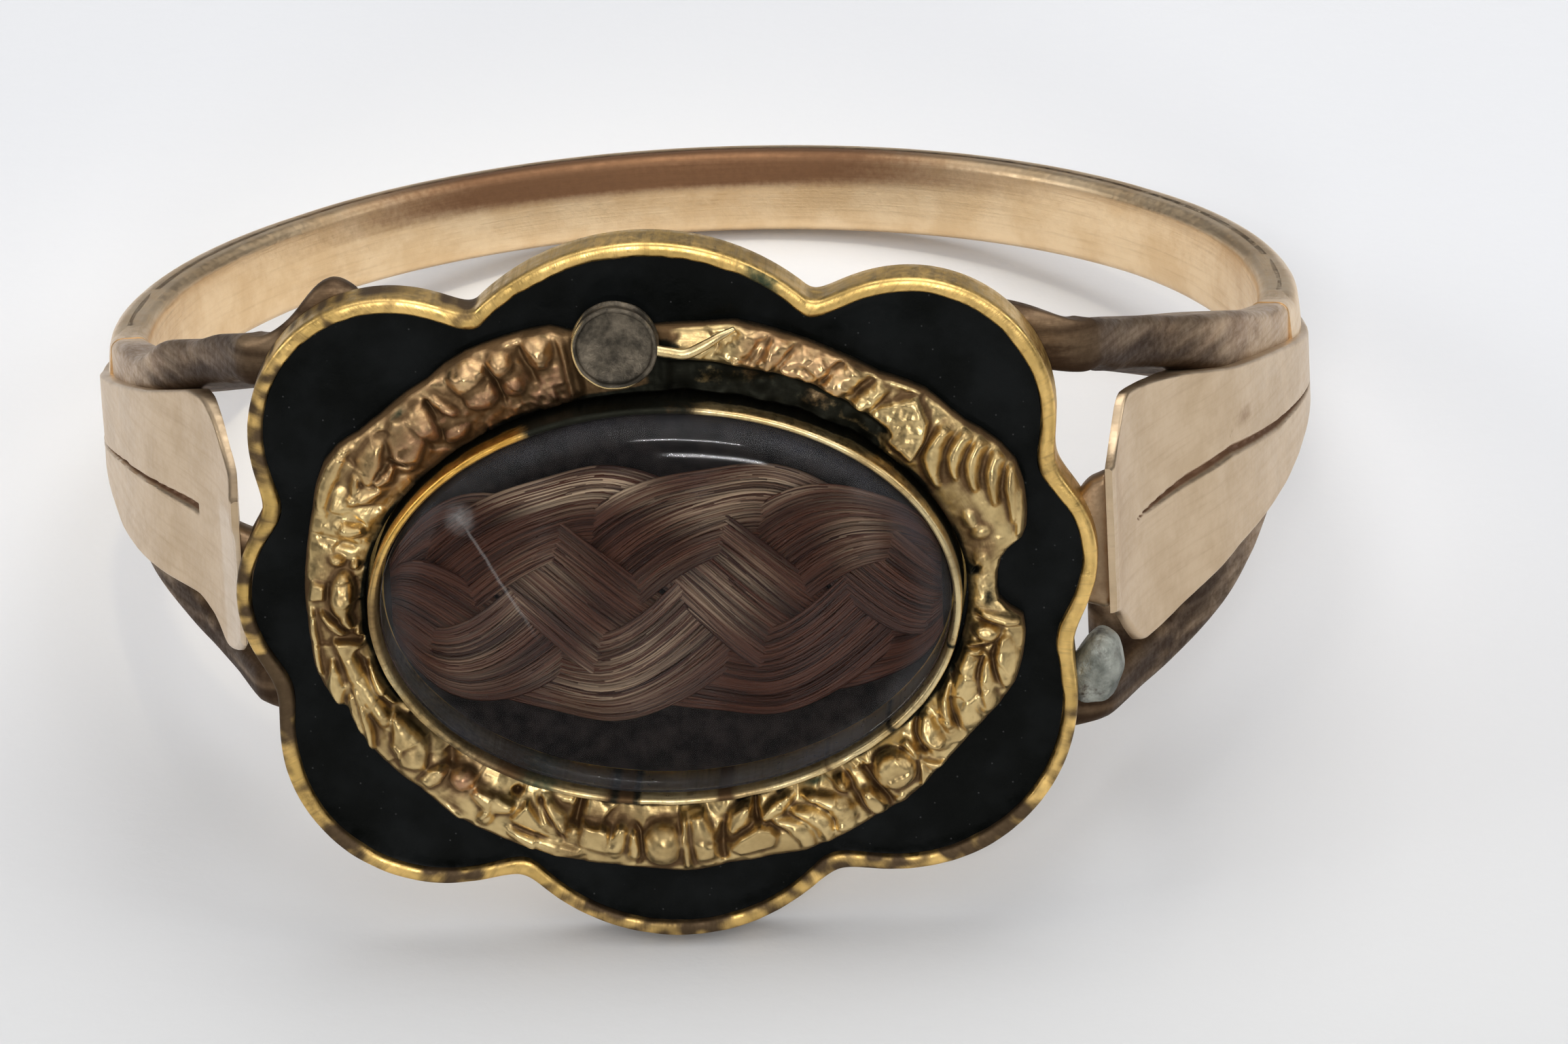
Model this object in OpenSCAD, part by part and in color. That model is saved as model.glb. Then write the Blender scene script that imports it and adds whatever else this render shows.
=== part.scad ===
// Mourning ring: a thin gold hoop with split leaf shoulders, an eight-lobed black enamel head,
// a chased gold border and an oval window of plaited hair under a domed crystal.
//
// The ring is drawn in its own frame and then laid on its side. In that frame the hoop's axis is Z,
// X runs across the head, and the head looks along -Y. "Forward" below means towards the head.
// Face pieces are drawn flat, u across and v up, and set at a height in front of the hoop's axis.

/* [Hoop] */
// Radius of the finger bore
bore_r = 8.75; // [8:0.05:9.5]
// Thickness of the hoop's wall at the back
band_t = 0.7; // [0.5:0.05:1]
// Width of the hoop at the back
band_w = 1.35; // [1.1:0.05:1.8]

/* [Head] */
// Distance from the hoop's axis to the back of the head
head_back = 9.6; // [9.5:0.05:10]
// Thickness of the head from its back to the top of its rim
head_t = 0.8; // [0.7:0.05:1]
// Thickness of the raised rim
rim_t = 0.21; // [0.18:0.01:0.3]
// The head is soldered on a little off the hoop's middle: this far to the right
head_u = -0.12; // [-0.2:0.01:0.2]
// And this far up
head_v = -0.16; // [-0.2:0.01:0.2]
// Thickness of the tray's floor
floor_t = 0.2; // [0.16:0.01:0.3]
// How far the enamel lies below the top of the rim
enamel_drop = 0.12; // [0.08:0.01:0.2]

/* [Window] */
// How far the window and its border lie above the middle of the head
window_v = -0.1; // [-0.15:0.01:0.1]
// Half the outside width of the collet
collet_a = 4.47; // [4:0.01:4.5]
// Half the outside height of the collet
collet_b = 3.18; // [2.9:0.01:3.2]
// Thickness of the collet's wall
collet_t = 0.15; // [0.12:0.01:0.2]
// Height of the collet above the rim
collet_rise = 0.66; // [0.6:0.02:0.9]
// Height of the crystal's dome above its edge
dome_h = 0.55; // [0.3:0.05:0.7]

/* [Chased border] */
// Half the outside width of the border
border_a = 5.46; // [5.3:0.02:5.5]
// Half the outside height of the border
border_b = 4.36; // [4.2:0.02:4.4]
// Height of the border's plain ground above the enamel
border_h = 0.3; // [0.2:0.02:0.4]
// Radius of the cup at the top of the border
boss_r = 0.66; // [0.5:0.02:0.7]

/* [Hair] */
// How far each lock swings from the middle of the plait
plait_swing = 1.45; // [1.2:0.05:1.5]
// Length in which a lock swings up, down and back
plait_pitch = 10; // [9:0.5:12]
// Width of a lock, square to its run
lock_w = 1; // [0.8:0.02:1.1]
// Thickness of a lock at its middle
lock_t = 0.13; // [0.08:0.01:0.14]

/* [Hidden] */
$fn = 64;

// Clearance between pieces that are laid in or on each other
gap = 0.03;
// Steps round the head's outline and round the border
outline_steps = 144;
border_steps = 240;
// Steps across the border, from its inner to its outer edge
border_across = 8;

// Heights in front of the hoop's axis
rim_top = head_back + head_t;
tray_floor = head_back + floor_t;
enamel_top = rim_top - enamel_drop;
border_base = enamel_top + gap;
collet_top = rim_top + collet_rise;
collet_in_a = collet_a - collet_t;
collet_in_b = collet_b - collet_t;
window_a = collet_in_a - gap;
window_b = collet_in_b - gap;
ground_t = 0.12;
ground_base = tray_floor + gap;
// A lock needs this much height for each level of the weave.
level_h = lock_t + gap;
weave_levels = 3;
hair_mid = ground_base + ground_t + gap + (weave_levels * level_h + lock_t) / 2;
crystal_base = hair_mid + (weave_levels * level_h + lock_t) / 2 + gap;
crystal_edge = 0.2;

// The lobes of the head, one row each: u and v of the lobe's centre, and its radius.
lobe_u = 0;
lobe_v = 1;
lobe_r = 2;
lobes = [
    [-0.16, 1.78, 3.64],
    [3.75, 2.55, 2.19],
    [4.84, 0.31, 1.64],
    [3.34, -1.88, 2.76],
    [0, -2.55, 3.06],
    [-3.48, -2.19, 2.47],
    [-4.69, 0, 1.79],
    [-4.01, 2.52, 2.15],
];
// A higher sharpness draws tighter valleys between the lobes.
lobe_sharpness = 24;

// The shoulders are not a true pair: the left one is set a little higher. Each side table below has one row
// per place: how far forward it is, and where the shape's top and bottom edges lie along the hoop's axis.
side_forward = 0;
side_top = 1;
side_bottom = 2;
hoop_side = [
    [-12, band_w / 2, -band_w / 2],
    [-6, band_w / 2 + 0.02, -band_w / 2 - 0.02],
    [-2, 0.8, -0.8],
    [0.6, 0.92, -0.92],
    [3, 1.55, -1.6],
];
// The two straps together
right_straps = [
    [-2, 0.8, -0.8],
    [0.6, 0.92, -0.92],
    [3, 1.5, -1.62],
    [4.5, 2.02, -2.2],
    [6.2, 2.5, -2.62],
    [7.3, 2.9, -2.8],
    [8.7, 3.28, -2.84],
    [9.62, 3.56, -2.84],
];
left_straps = [
    [-2, 0.8, -0.8],
    [0.6, 0.92, -0.92],
    [3.2, 1.56, -1.5],
    [4.5, 1.86, -1.66],
    [5.6, 2.34, -1.76],
    [6.7, 2.84, -1.98],
    [7.1, 2.86, -2.06],
    [8, 3.26, -2.14],
    [9.62, 3.72, -2.2],
];
// The opening between the straps
right_fork = [
    [4.4, 0.8, -0.8],
    [5.2, 1.2, -1.2],
    [6.3, 1.72, -1.7],
    [7.3, 2.06, -2],
    [9.5, 2.74, -2.3],
    [12, 3.2, -2.5],
];
left_fork = [
    [4.4, 1.16, -0.6],
    [5.2, 1.44, -0.9],
    [6.4, 1.9, -1.2],
    [7.4, 2.3, -1.5],
    [9.5, 3, -1.66],
    [12, 3.4, -1.8],
];
// The leaf plate
right_leaf = [
    [-1.6, 0.1, -0.3],
    [0.6, 0.34, -0.86],
    [3, 0.88, -1.36],
    [5.4, 1.4, -1.5],
    [6.8, 1.8, -1.74],
    [7.9, 2.04, -1.9],
    [8.5, 2.14, -1.92],
    [8.9, 2.18, -1.6],
    [9.3, 1.72, -1.22],
    [9.7, 1.5, -1],
    [10.12, 1.4, -0.86],
];
left_leaf = [
    [-1.6, 0.1, -0.3],
    [0.6, 0.34, -0.86],
    [3.4, 1.04, -1.36],
    [5.8, 1.7, -1.2],
    [7.4, 2.22, -1.1],
    [8, 2.28, -1.26],
    [8.5, 2.06, -1.56],
    [8.9, 1.76, -1.5],
    [9.3, 1.56, -1.24],
    [10.12, 1.3, -0.96],
];
// The outer skin of a shoulder seen along the hoop's axis: across, and forward.
skin_plan = [
    [9.34, -1.6],
    [9.55, 0.6],
    [9.06, 3.4],
    [8.2, 6],
    [7.52, 7.3],
    [6.98, 8.5],
    [6.74, 9.3],
    [6.66, 10.12],
];
// The inner side of a leaf plate and of a strap, past where they leave the finger. The leaf is a thin sheet that
// leaves it first, so that daylight shows between the leaf, the upper strap and the head.
leaf_inner_plan = [
    [6.5, 10.12],
    [6.58, 9.3],
    [6.72, 8.8],
    [6.96, 8],
    [7.22, 7],
    [7.4, 6],
    [7.5, 5],
    [7.5, 4.3],
];
strap_inner_plan = [[5.9, 9.62], [6.1, 8.8], [6.4, 7.8], [6.25, 7], [5.75, 6.5]];
// How far the straps and the floor of the engraved line lie under the leaf's skin
strap_sink = 0.2;
groove_sink = 0.1;
// The engraved line on a leaf, in a side table of its own
right_groove = [
    [0.3, -0.48, -0.52],
    [3.4, -0.16, -0.3],
    [5.6, 0.2, 0.04],
    [7, 0.22, 0.06],
    [8.6, 0.1, 0.06],
];
left_groove = [
    [0.3, -0.78, -0.84],
    [4.2, 0.06, -0.08],
    [5.9, 0.32, 0.16],
    [7, 0.44, 0.2],
    [7.6, 0.5, 0.22],
];
// The straps' ends under the head, across and along the hoop's axis
right_top_end = [
    [6.38, 2.7], [6.38, 3.5], [5.6, 3.74], [5, 3.9],
    [4.6, 3.92], [4.4, 3.6], [5, 3.1], [5.6, 2.8],
];
left_top_end = [
    [6.38, 2.9], [6.38, 3.66], [5.6, 3.86], [5, 4.1],
    [4.5, 4.24], [4.3, 3.9], [5, 3.3], [5.6, 3],
];
right_low_end = [[6.38, -2.84], [6.38, -2.2], [5.6, -2.1], [4.6, -2.4], [4.6, -3], [5.6, -2.96]];
left_low_end = [[6.38, -2.2], [6.38, -1.6], [5.6, -1.5], [4.6, -1.9], [4.6, -2.5], [5.6, -2.4]];
strap_end_t = 0.5;

// The ring lies on its head's bottom lobe and on the lower edge of the hoop's back.
head_low = -head_v - lobes[4][lobe_v] + lobes[4][lobe_r];
hoop_r = bore_r + band_t;
lie_tilt = atan((head_low - band_w / 2) / (head_back + hoop_r));
lift = head_low * cos(lie_tilt) - head_back * sin(lie_tilt);
// Moves the middle of the ring's depth onto the origin.
depth_shift = 1.21;

function sum(list, i = 0) = i < len(list) ? list[i] + sum(list, i + 1) : 0;

// Distance from the middle of the face to the far side of a lobe that is drawn in by inset, at angle a
function lobe_ray(lobe, inset, a) =
    let(along = lobe[lobe_u] * cos(a) + lobe[lobe_v] * sin(a),
        far = pow(lobe[lobe_u], 2) + pow(lobe[lobe_v], 2) - pow(lobe[lobe_r] - inset, 2),
        under = along * along - far)
    under > 0 ? max(along + sqrt(under), 0.01) : 0.01;

// The longest of the eight rays, with the valleys between lobes rounded
function head_reach(inset, a) =
    pow(sum([for (lobe = lobes) pow(lobe_ray(lobe, inset, a), lobe_sharpness)]), 1 / lobe_sharpness);

module head_outline(inset) {
    polygon([for (i = [0 : outline_steps - 1])
        let(a = 360 * i / outline_steps)
        head_reach(inset, a) * [cos(a), sin(a)]]);
}

module oval(a, b) {
    polygon([for (i = [0 : outline_steps - 1])
        let(t = 360 * i / outline_steps)
        [a * cos(t), b * sin(t)]]);
}

// Lays the ring on its side, with the origin under the middle of its box.
module lie() {
    translate([0, depth_shift, lift])
        rotate([-lie_tilt, 0, 0])
            children();
}

// Puts a flat drawing of the head at a height in front of the hoop's axis. Extrusions rise forward.
module on_face(height) {
    translate([head_u, -height, head_v])
        rotate([90, 0, 0])
            children();
}

// The same for a piece of the window
module on_window(height) {
    translate([0, 0, window_v])
        on_face(height)
            children();
}

// Extrudes a drawing of forward and width across the whole ring.
module across_ring() {
    rotate([90, 0, 90])
        linear_extrude(height = 24, center = true)
            children();
}

// The shape between the top and bottom edges of a side table
module side_strip(rows) {
    polygon(concat(
        [for (r = rows) [-r[side_forward], r[side_top]]],
        [for (i = [len(rows) - 1 : -1 : 0]) [-rows[i][side_forward], rows[i][side_bottom]]]));
}

// A shoulder's wall seen along the hoop's axis, with its skin drawn in towards the axis by sink
module shoulder_plan(sink, inner) {
    polygon(concat(
        [[8.9, 1.6]],
        [for (p = skin_plan)
            let(q = p * (1 - sink / norm(p)))
            [q[0], -q[1]]],
        [for (p = inner) [p[0], -p[1]]]));
}

module shoulder_wall(sink, inner) {
    linear_extrude(height = 9, center = true)
        shoulder_plan(sink, inner);
}

// The two straps of a shoulder, still joined behind the fork
module straps(rows, fork) {
    intersection() {
        difference() {
            shoulder_wall(strap_sink, strap_inner_plan);
            across_ring() side_strip(fork);
            // The straps end at the back of the head.
            translate([0, -head_back - 5, 0])
                cube([20, 10, 12], center = true);
        }
        across_ring() side_strip(rows);
    }
}

module leaf(rows, groove) {
    intersection() {
        shoulder_wall(groove_sink, leaf_inner_plan);
        across_ring() side_strip(rows);
    }
    intersection() {
        shoulder_wall(0, leaf_inner_plan);
        across_ring() difference() {
            side_strip(rows);
            side_strip(groove);
        }
    }
}

module strap_end(outline) {
    translate([0, strap_end_t - head_back, 0])
        rotate([90, 0, 0])
            linear_extrude(height = strap_end_t)
                polygon(outline);
}

// The webs that join the leaves to the sides of the head, across and along the hoop's axis
right_web = [[5.9, -0.7], [5.9, 0.7], [6.24, 1.16], [6.58, 1.3], [6.6, -0.9]];
left_web = [[6.1, -1], [6.1, 0.7], [6.36, 0.78], [6.6, 0.9], [6.6, -1]];
web_front = 10;
web_t = 0.4;
module web(outline) {
    translate([0, web_t - web_front, 0])
        rotate([90, 0, 0])
            linear_extrude(height = web_t)
                polygon(outline);
}

// The grey lump of solder that fills the corner between the head, the right leaf and the strap below it
solder = [[5.75, -0.95], [6.3, -0.8], [6.62, -1.3], [6.66, -2.1], [6.4, -2.6], [6, -2.5], [5.7, -1.7]];
solder_front = 10.2;
solder_t = 0.9;
module solder_lump() {
    translate([0, solder_t - solder_front, 0])
        rotate([90, 0, 0])
            linear_extrude(height = solder_t)
                polygon(solder);
}

module right_shoulder() {
    straps(right_straps, right_fork);
    leaf(right_leaf, right_groove);
    web(right_web);
    strap_end(right_top_end);
    strap_end(right_low_end);
}

// Drawn on the right like its fellow
module left_shoulder() {
    straps(left_straps, left_fork);
    leaf(left_leaf, left_groove);
    web(left_web);
    strap_end(left_top_end);
    strap_end(left_low_end);
}

module hoop() {
    intersection() {
        cylinder(r = hoop_r, h = 4, center = true);
        across_ring() side_strip(hoop_side);
        // The hoop proper ends where the shoulders have taken over.
        translate([0, 8, 0])
            cube([24, 20, 6], center = true);
    }
}

module head_plate() {
    on_face(head_back)
        linear_extrude(height = head_t)
            head_outline(0);
}

// The space for the enamel, over the tray's floor
module pocket() {
    on_face(tray_floor)
        linear_extrude(height = head_t)
            head_outline(rim_t);
}

module collet() {
    on_window(tray_floor - floor_t / 2)
        linear_extrude(height = collet_top - tray_floor + floor_t / 2)
            difference() {
                oval(collet_a, collet_b);
                oval(collet_in_a, collet_in_b);
            }
}

module ring_frame() {
    color("goldenrod")
        lie() {
            difference() {
                union() {
                    hoop();
                    right_shoulder();
                    mirror([1, 0, 0]) left_shoulder();
                    solder_lump();
                    head_plate();
                }
                cylinder(r = bore_r, h = 30, center = true);
                pocket();
            }
            collet();
        }
}

module enamel() {
    color([0.06, 0.07, 0.06])
        lie()
            on_face(tray_floor + gap)
                linear_extrude(height = enamel_top - tray_floor - gap)
                    difference() {
                        head_outline(rim_t + gap);
                        translate([0, window_v]) oval(collet_a + gap, collet_b + gap);
                    }
}

// The chased motifs, clockwise from the top of the border, one row each: clock angle, half its span in
// degrees, height, place across the border from 0 at the inner edge to 1 at the outer, half its reach across,
// and slant in degrees from edge to edge.
motif_clock = 0;
motif_span = 1;
motif_rise = 2;
motif_place = 3;
motif_reach = 4;
motif_slant = 5;
motifs = [
    [12, 1.8, 0.17, 0.75, 0.25, 10],
    [18, 1.6, 0.2, 0.72, 0.3, 7],
    [23, 1.4, 0.22, 0.68, 0.28, 5],
    [26.6, 1.4, 0.22, 0.66, 0.25, 6],
    [31.5, 1.8, 0.26, 0.68, 0.33, 8],
    [38, 1.5, 0.26, 0.58, 0.36, 5],
    [46, 4.5, 0.32, 0.55, 0.5, 3],
    [55, 1.8, 0.28, 0.6, 0.4, -5],
    [60, 1.8, 0.24, 0.8, 0.28, -10],
    [71, 2.2, 0.28, 0.87, 0.22, -27],
    [69, 5, 0.3, 1.12, 0.14, 0],
    [76, 1.6, 0.1, 0.38, 0.16, 0],
    [96.8, 1.4, 0.22, 0.55, 0.35, 2],
    [100.2, 2, 0.26, 0.35, 0.22, 0],
    [96, 2.6, 0.26, 0.8, 0.22, 32],
    [106, 2.4, 0.28, 0.72, 0.25, 24],
    [111.3, 3, 0.26, 0.48, 0.4, 24],
    [122.3, 1.8, 0.26, 0.35, 0.26, 22],
    [127, 2, 0.28, 0.4, 0.32, 4],
    [133.5, 3.2, 0.3, 0.72, 0.26, 0],
    [138, 3.4, 0.36, 0.46, 0.3, 0],
    [145, 1.7, 0.26, 0.72, 0.25, 0],
    [151.5, 1.8, 0.28, 0.6, 0.38, -5],
    [155.5, 1.6, 0.28, 0.62, 0.36, -6],
    [160.3, 1.7, 0.28, 0.68, 0.33, -8],
    [167.2, 3.6, 0.2, 0.65, 0.24, 0],
    [168.5, 2.4, 0.24, 0.3, 0.16, 12],
    [176, 1.6, 0.26, 0.5, 0.4, 0],
    [182.7, 3.1, 0.4, 0.58, 0.32, 0],
    [188.8, 1.9, 0.24, 0.58, 0.28, 0],
    [194.5, 2.6, 0.2, 0.58, 0.25, 0],
    [202, 3.2, 0.2, 0.42, 0.25, -12],
    [207, 2.6, 0.18, 0.58, 0.2, 0],
    [203, 6, 0.16, 0.88, 0.14, 0],
    [214, 3, 0.22, 0.55, 0.28, 0],
    [221, 2.4, 0.26, 0.36, 0.2, 0],
    [226, 1.9, 0.27, 0.58, 0.22, 0],
    [234.7, 3.4, 0.3, 0.42, 0.3, -26],
    [250, 7, 0.26, 0.4, 0.16, 0],
    [252, 1.9, 0.3, 0.72, 0.25, -33],
    [264.6, 1.9, 0.25, 0.8, 0.18, -38],
    [249, 4.6, 0.3, 0.12, 0.12, 0],
    [266.5, 1.6, 0.32, 0.5, 0.24, 16],
    [274, 4.2, 0.3, 0.35, 0.2, 0],
    [274, 2, 0.24, 0.76, 0.18, 0],
    [281.6, 1.5, 0.2, 0.35, 0.28, 0],
    [289.7, 1.8, 0.25, 0.44, 0.24, 0],
    [298.3, 2, 0.25, 0.52, 0.22, -19],
    [298, 4.6, 0.2, 1.12, 0.14, 0],
    [298.6, 2.6, 0.22, 0.74, 0.2, 27],
    [304.3, 2.4, 0.24, 0.42, 0.13, 0],
    [311, 3.4, 0.32, 0.62, 0.34, 11],
    [318, 2.4, 0.28, 0.6, 0.34, 0],
    [322, 2.2, 0.22, 0.4, 0.36, 0],
    [329, 2.8, 0.3, 0.7, 0.36, 0],
    [335, 2.2, 0.32, 0.7, 0.34, 0],
    [341, 2.3, 0.3, 0.84, 0.24, 0],
];
// The border's outer edge: clock angle, and where the edge lies on the way from the inner oval at 0 to the
// outer oval at 1. It swells at the upper corners and is bitten away on the right.
edges = [
    [0, 0.95],
    [13, 1.03],
    [38, 0.96],
    [46, 1.12],
    [55, 1.15],
    [66, 1.38],
    [75, 1.2],
    [80, 0.98],
    [83.5, 0.6],
    [87, 0.49],
    [90, 0.46],
    [93, 0.5],
    [96.5, 0.9],
    [110, 1.05],
    [122, 0.9],
    [133, 0.91],
    [141, 1],
    [160, 1.04],
    [210, 1],
    [226, 0.91],
    [243, 0.88],
    [247, 0.83],
    [249, 0.94],
    [258, 1],
    [275, 0.98],
    [285, 1.05],
    [290, 1.12],
    [299, 1.3],
    [307, 1.15],
    [330, 1.16],
    [345, 1.06],
    [360, 0.95],
];
// The cup stands on a flat seat on the border, and the broken patch beside it is sunk. Each row is the clock
// angle, half the span in degrees, the ground's height there, and the share of the way across from which the
// ground is whole again.
dip_clock = 0;
dip_span = 1;
dip_height = 2;
dip_from = 3;
dips = [
    [-6, 10, 0.22, 0],
    [13, 16, 0.12, 0.62],
];
boss_clock = -6;
boss_seat = dips[0][dip_height];

// Signed difference of two clock angles
function turn(a, b) = (a - b + 540) % 360 - 180;

function motif_height(row, clock, s) =
    let(da = turn(clock, row[motif_clock] + row[motif_slant] * (s - 0.5)) / row[motif_span],
        ds = (s - row[motif_place]) / row[motif_reach],
        d = da * da + ds * ds)
    d < 4 ? row[motif_rise] * exp(-d) : 0;

// 1 inside a dip, falling to 0 over its last quarter
function dip_share(row, clock) =
    let(d = abs(turn(clock, row[dip_clock])) / row[dip_span])
    d > 1 ? 0 : min(1, (1 - d) * 4);

// Height at a place s, which is the share across of the border's own width there
function border_rise(clock, s, across) =
    let(ground = border_h * (0.55 + 0.45 * sin(180 * across)),
        full = ground + min(1, s * 5 + 0.1) * max([for (m = motifs) motif_height(m, clock, s)]),
        seat = dip_share(dips[0], clock),
        patch = s < dips[1][dip_from] ? dip_share(dips[1], clock) : 0)
    full * (1 - max(seat, patch)) + (seat > patch ? seat * boss_seat : patch * dips[1][dip_height]);

// The place at a share s of the way from the inner oval to the outer one
function border_point(clock, s) =
    let(a = (collet_a + 2 * gap) * (1 - s) + border_a * s,
        b = (collet_b + 2 * gap) * (1 - s) + border_b * s)
    [a * sin(clock), b * cos(clock)];

// Where the motifs lean back against the clock; the relief's faces are split along their lean there.
function leans_back(clock) = (clock > 53 && clock < 78) || (clock > 228 && clock < 270);

// A closed ring of solid relief: each station is a loop of a flat underside and a chased top.
module relief_ring() {
    loop = border_across + 3;
    points = [for (i = [0 : border_steps - 1])
        let(clock = 360 * i / border_steps,
            edge = lookup(clock, edges),
            inner = border_point(clock, 0),
            outer = border_point(clock, edge))
        each concat(
            [[inner[0], inner[1], 0], [outer[0], outer[1], 0]],
            [for (j = [border_across : -1 : 0])
                let(across = j / border_across, s = across * edge, p = border_point(clock, s))
                [p[0], p[1], border_rise(clock, s, across)]])];
    faces = [for (i = [0 : border_steps - 1], j = [0 : loop - 1])
        let(next = (i + 1) % border_steps,
            k = (j + 1) % loop,
            a = i * loop + j,
            b = next * loop + j,
            c = next * loop + k,
            d = i * loop + k)
        each leans_back(360 * i / border_steps) ? [[a, b, c], [a, c, d]] : [[a, b, d], [b, c, d]]];
    polyhedron(points, faces);
}

module chased_border() {
    color("darkgoldenrod")
        lie()
            on_window(border_base)
                relief_ring();
}

// A shallow cup, standing on its seat and reaching past the border's outer edge
module top_boss() {
    boss_h = 0.5;
    cup_depth = 0.14;
    wall = 0.09;
    place = border_point(boss_clock, 0.78);
    color("dimgray")
        lie()
            on_window(border_base + boss_seat + gap)
                translate([place[0], place[1], 0])
                    rotate_extrude()
                        polygon([[0, 0], [boss_r - 0.08, 0], [boss_r, 0.1], [boss_r, boss_h],
                                 [boss_r - wall, boss_h], [boss_r - wall, boss_h - cup_depth * 0.6],
                                 [0, boss_h - cup_depth]]);
}

// The short wire from the cup to the ribs, a sagging arc
module boss_wire() {
    wire_r = 0.085;
    sag_r = 0.62;
    half_angle = 42;
    place = border_point(7, 0.82);
    color("gold")
        lie()
            on_window(border_base + 0.62)
                translate([place[0], place[1] + sag_r, 0])
                    rotate([0, 0, -90 - half_angle])
                        rotate_extrude(angle = 2 * half_angle)
                            translate([sag_r, 0])
                                circle(r = wire_r, $fn = 16);
}

// A domed oval of glass: a straight edge, then rings that close over the top
module crystal() {
    around = 48;
    rings = 7;
    shape = concat(
        [[1, 0], [1, crystal_edge]],
        [for (k = [1 : rings - 1])
            let(t = 90 * k / rings)
            [cos(t), crystal_edge + dome_h * pow(sin(t), 0.8)]]);
    points = concat(
        [for (r = shape, i = [0 : around - 1])
            let(t = 360 * i / around)
            [window_a * r[0] * cos(t), window_b * r[0] * sin(t), r[1]]],
        [[0, 0, crystal_edge + dome_h]]);
    top = len(shape) * around;
    faces = concat(
        [[for (i = [0 : around - 1]) i]],
        [for (k = [0 : len(shape) - 2], i = [0 : around - 1])
            let(n = (i + 1) % around)
            each [[k * around + i, (k + 1) * around + i, k * around + n],
                  [(k + 1) * around + i, (k + 1) * around + n, k * around + n]]],
        [for (i = [0 : around - 1])
            [(len(shape) - 1) * around + i, top, (len(shape) - 1) * around + (i + 1) % around]]);
    color([0.75, 0.8, 0.85, 0.5])
        lie()
            on_window(crystal_base)
                polyhedron(points, faces);
}

module hair_ground() {
    color([0.1, 0.08, 0.08])
        lie()
            on_window(ground_base)
                linear_extrude(height = ground_t)
                    oval(window_a, window_b);
}

// The four locks cross in the middle with the falling lock on top, and at the sides with the rising one on
// top.
// Each row is a lock's phase in degrees and its level in the weave there.
weave = [
    [0, -1], [22.5, -0.5], [45, 0.5], [67.5, 1.5], [83, 0.9], [90, 0], [97, -0.9], [112.5, -1.5],
    [135, -0.5], [157.5, 0.5], [180, 1], [202.5, 0.5], [225, -0.5], [247.5, -1.5], [263, -0.9], [270, 0],
    [277, 0.9], [292.5, 1.5], [315, 0.5], [337.5, -0.5], [360, -1],
];
// Where a middle crossing lies, from the middle of the window
crossing_u = 1.15;
lock_steps = 40;
lock_sides = 10;
lock_reach = window_a - 0.26;

function lock_phase(index, u) = 360 * (u - crossing_u) / plait_pitch + 90 * index;
// The plait narrows towards the ends of the oval.
function plait_envelope(u) = pow(max(1 - pow(u / window_a, 4), 0), 0.5);
function lock_v(index, u) = plait_swing * plait_envelope(u) * sin(lock_phase(index, u));
function lock_slope(index, u) = plait_swing * 2 * PI / plait_pitch * cos(lock_phase(index, u));
function lock_half(index, u) =
    lock_w / 2 * sqrt(1 + pow(lock_slope(index, u), 2)) * (0.1 + 0.9 * plait_envelope(u));
function lock_level(index, u) =
    level_h * lookup(((lock_phase(index, u) % 360) + 360) % 360, weave);

module hair_lock(index) {
    points = [for (i = [0 : lock_steps])
        let(u = lock_reach * (2 * i / lock_steps - 1),
            v = lock_v(index, u),
            half = lock_half(index, u),
            level = lock_level(index, u))
        for (j = [0 : lock_sides - 1])
            let(t = 360 * j / lock_sides)
            [u, v + half * cos(t), level + lock_t / 2 * sin(t)]];
    faces = concat(
        [[for (j = [lock_sides - 1 : -1 : 0]) j]],
        [for (i = [0 : lock_steps - 1], j = [0 : lock_sides - 1])
            let(a = i * lock_sides + j, b = i * lock_sides + (j + 1) % lock_sides)
            each [[a, b, a + lock_sides], [b, b + lock_sides, a + lock_sides]]],
        [[for (j = [0 : lock_sides - 1]) lock_steps * lock_sides + j]]);
    color([0.35, 0.24, 0.2])
        lie()
            on_window(hair_mid)
                polyhedron(points, faces);
}

ring_frame();
enamel();
chased_border();
top_boss();
boss_wire();
crystal();
hair_ground();
hair_lock(0);  // hair_lock_1
hair_lock(1);  // hair_lock_2
hair_lock(2);  // hair_lock_3
hair_lock(3);  // hair_lock_4
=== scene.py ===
import math

import bmesh
import bpy
import numpy as np
from mathutils import Matrix, Vector

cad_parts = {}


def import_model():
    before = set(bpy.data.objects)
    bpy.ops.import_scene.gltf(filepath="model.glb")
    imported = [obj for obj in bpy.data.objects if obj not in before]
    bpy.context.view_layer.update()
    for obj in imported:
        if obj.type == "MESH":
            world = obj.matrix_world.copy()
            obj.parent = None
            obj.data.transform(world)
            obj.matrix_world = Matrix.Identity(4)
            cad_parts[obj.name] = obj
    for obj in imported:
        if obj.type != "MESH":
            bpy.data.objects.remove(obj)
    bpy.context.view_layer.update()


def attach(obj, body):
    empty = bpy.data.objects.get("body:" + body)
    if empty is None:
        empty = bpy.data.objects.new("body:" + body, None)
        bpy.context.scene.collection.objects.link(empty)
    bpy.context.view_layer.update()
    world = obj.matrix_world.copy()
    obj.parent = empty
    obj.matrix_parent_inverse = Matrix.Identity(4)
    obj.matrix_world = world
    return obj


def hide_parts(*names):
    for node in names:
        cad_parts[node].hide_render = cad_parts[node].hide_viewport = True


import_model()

# All shapes are worked out in millimetres in the ring's own frame: X right, Z the hoop's axis, and the head
# faces -Y. "Forward" is the distance towards the head. lay() turns them into the row's frame, in metres.
TILT = math.radians(14.9735)
SHIFT = 1.21
LIFT = 3.0937

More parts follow.
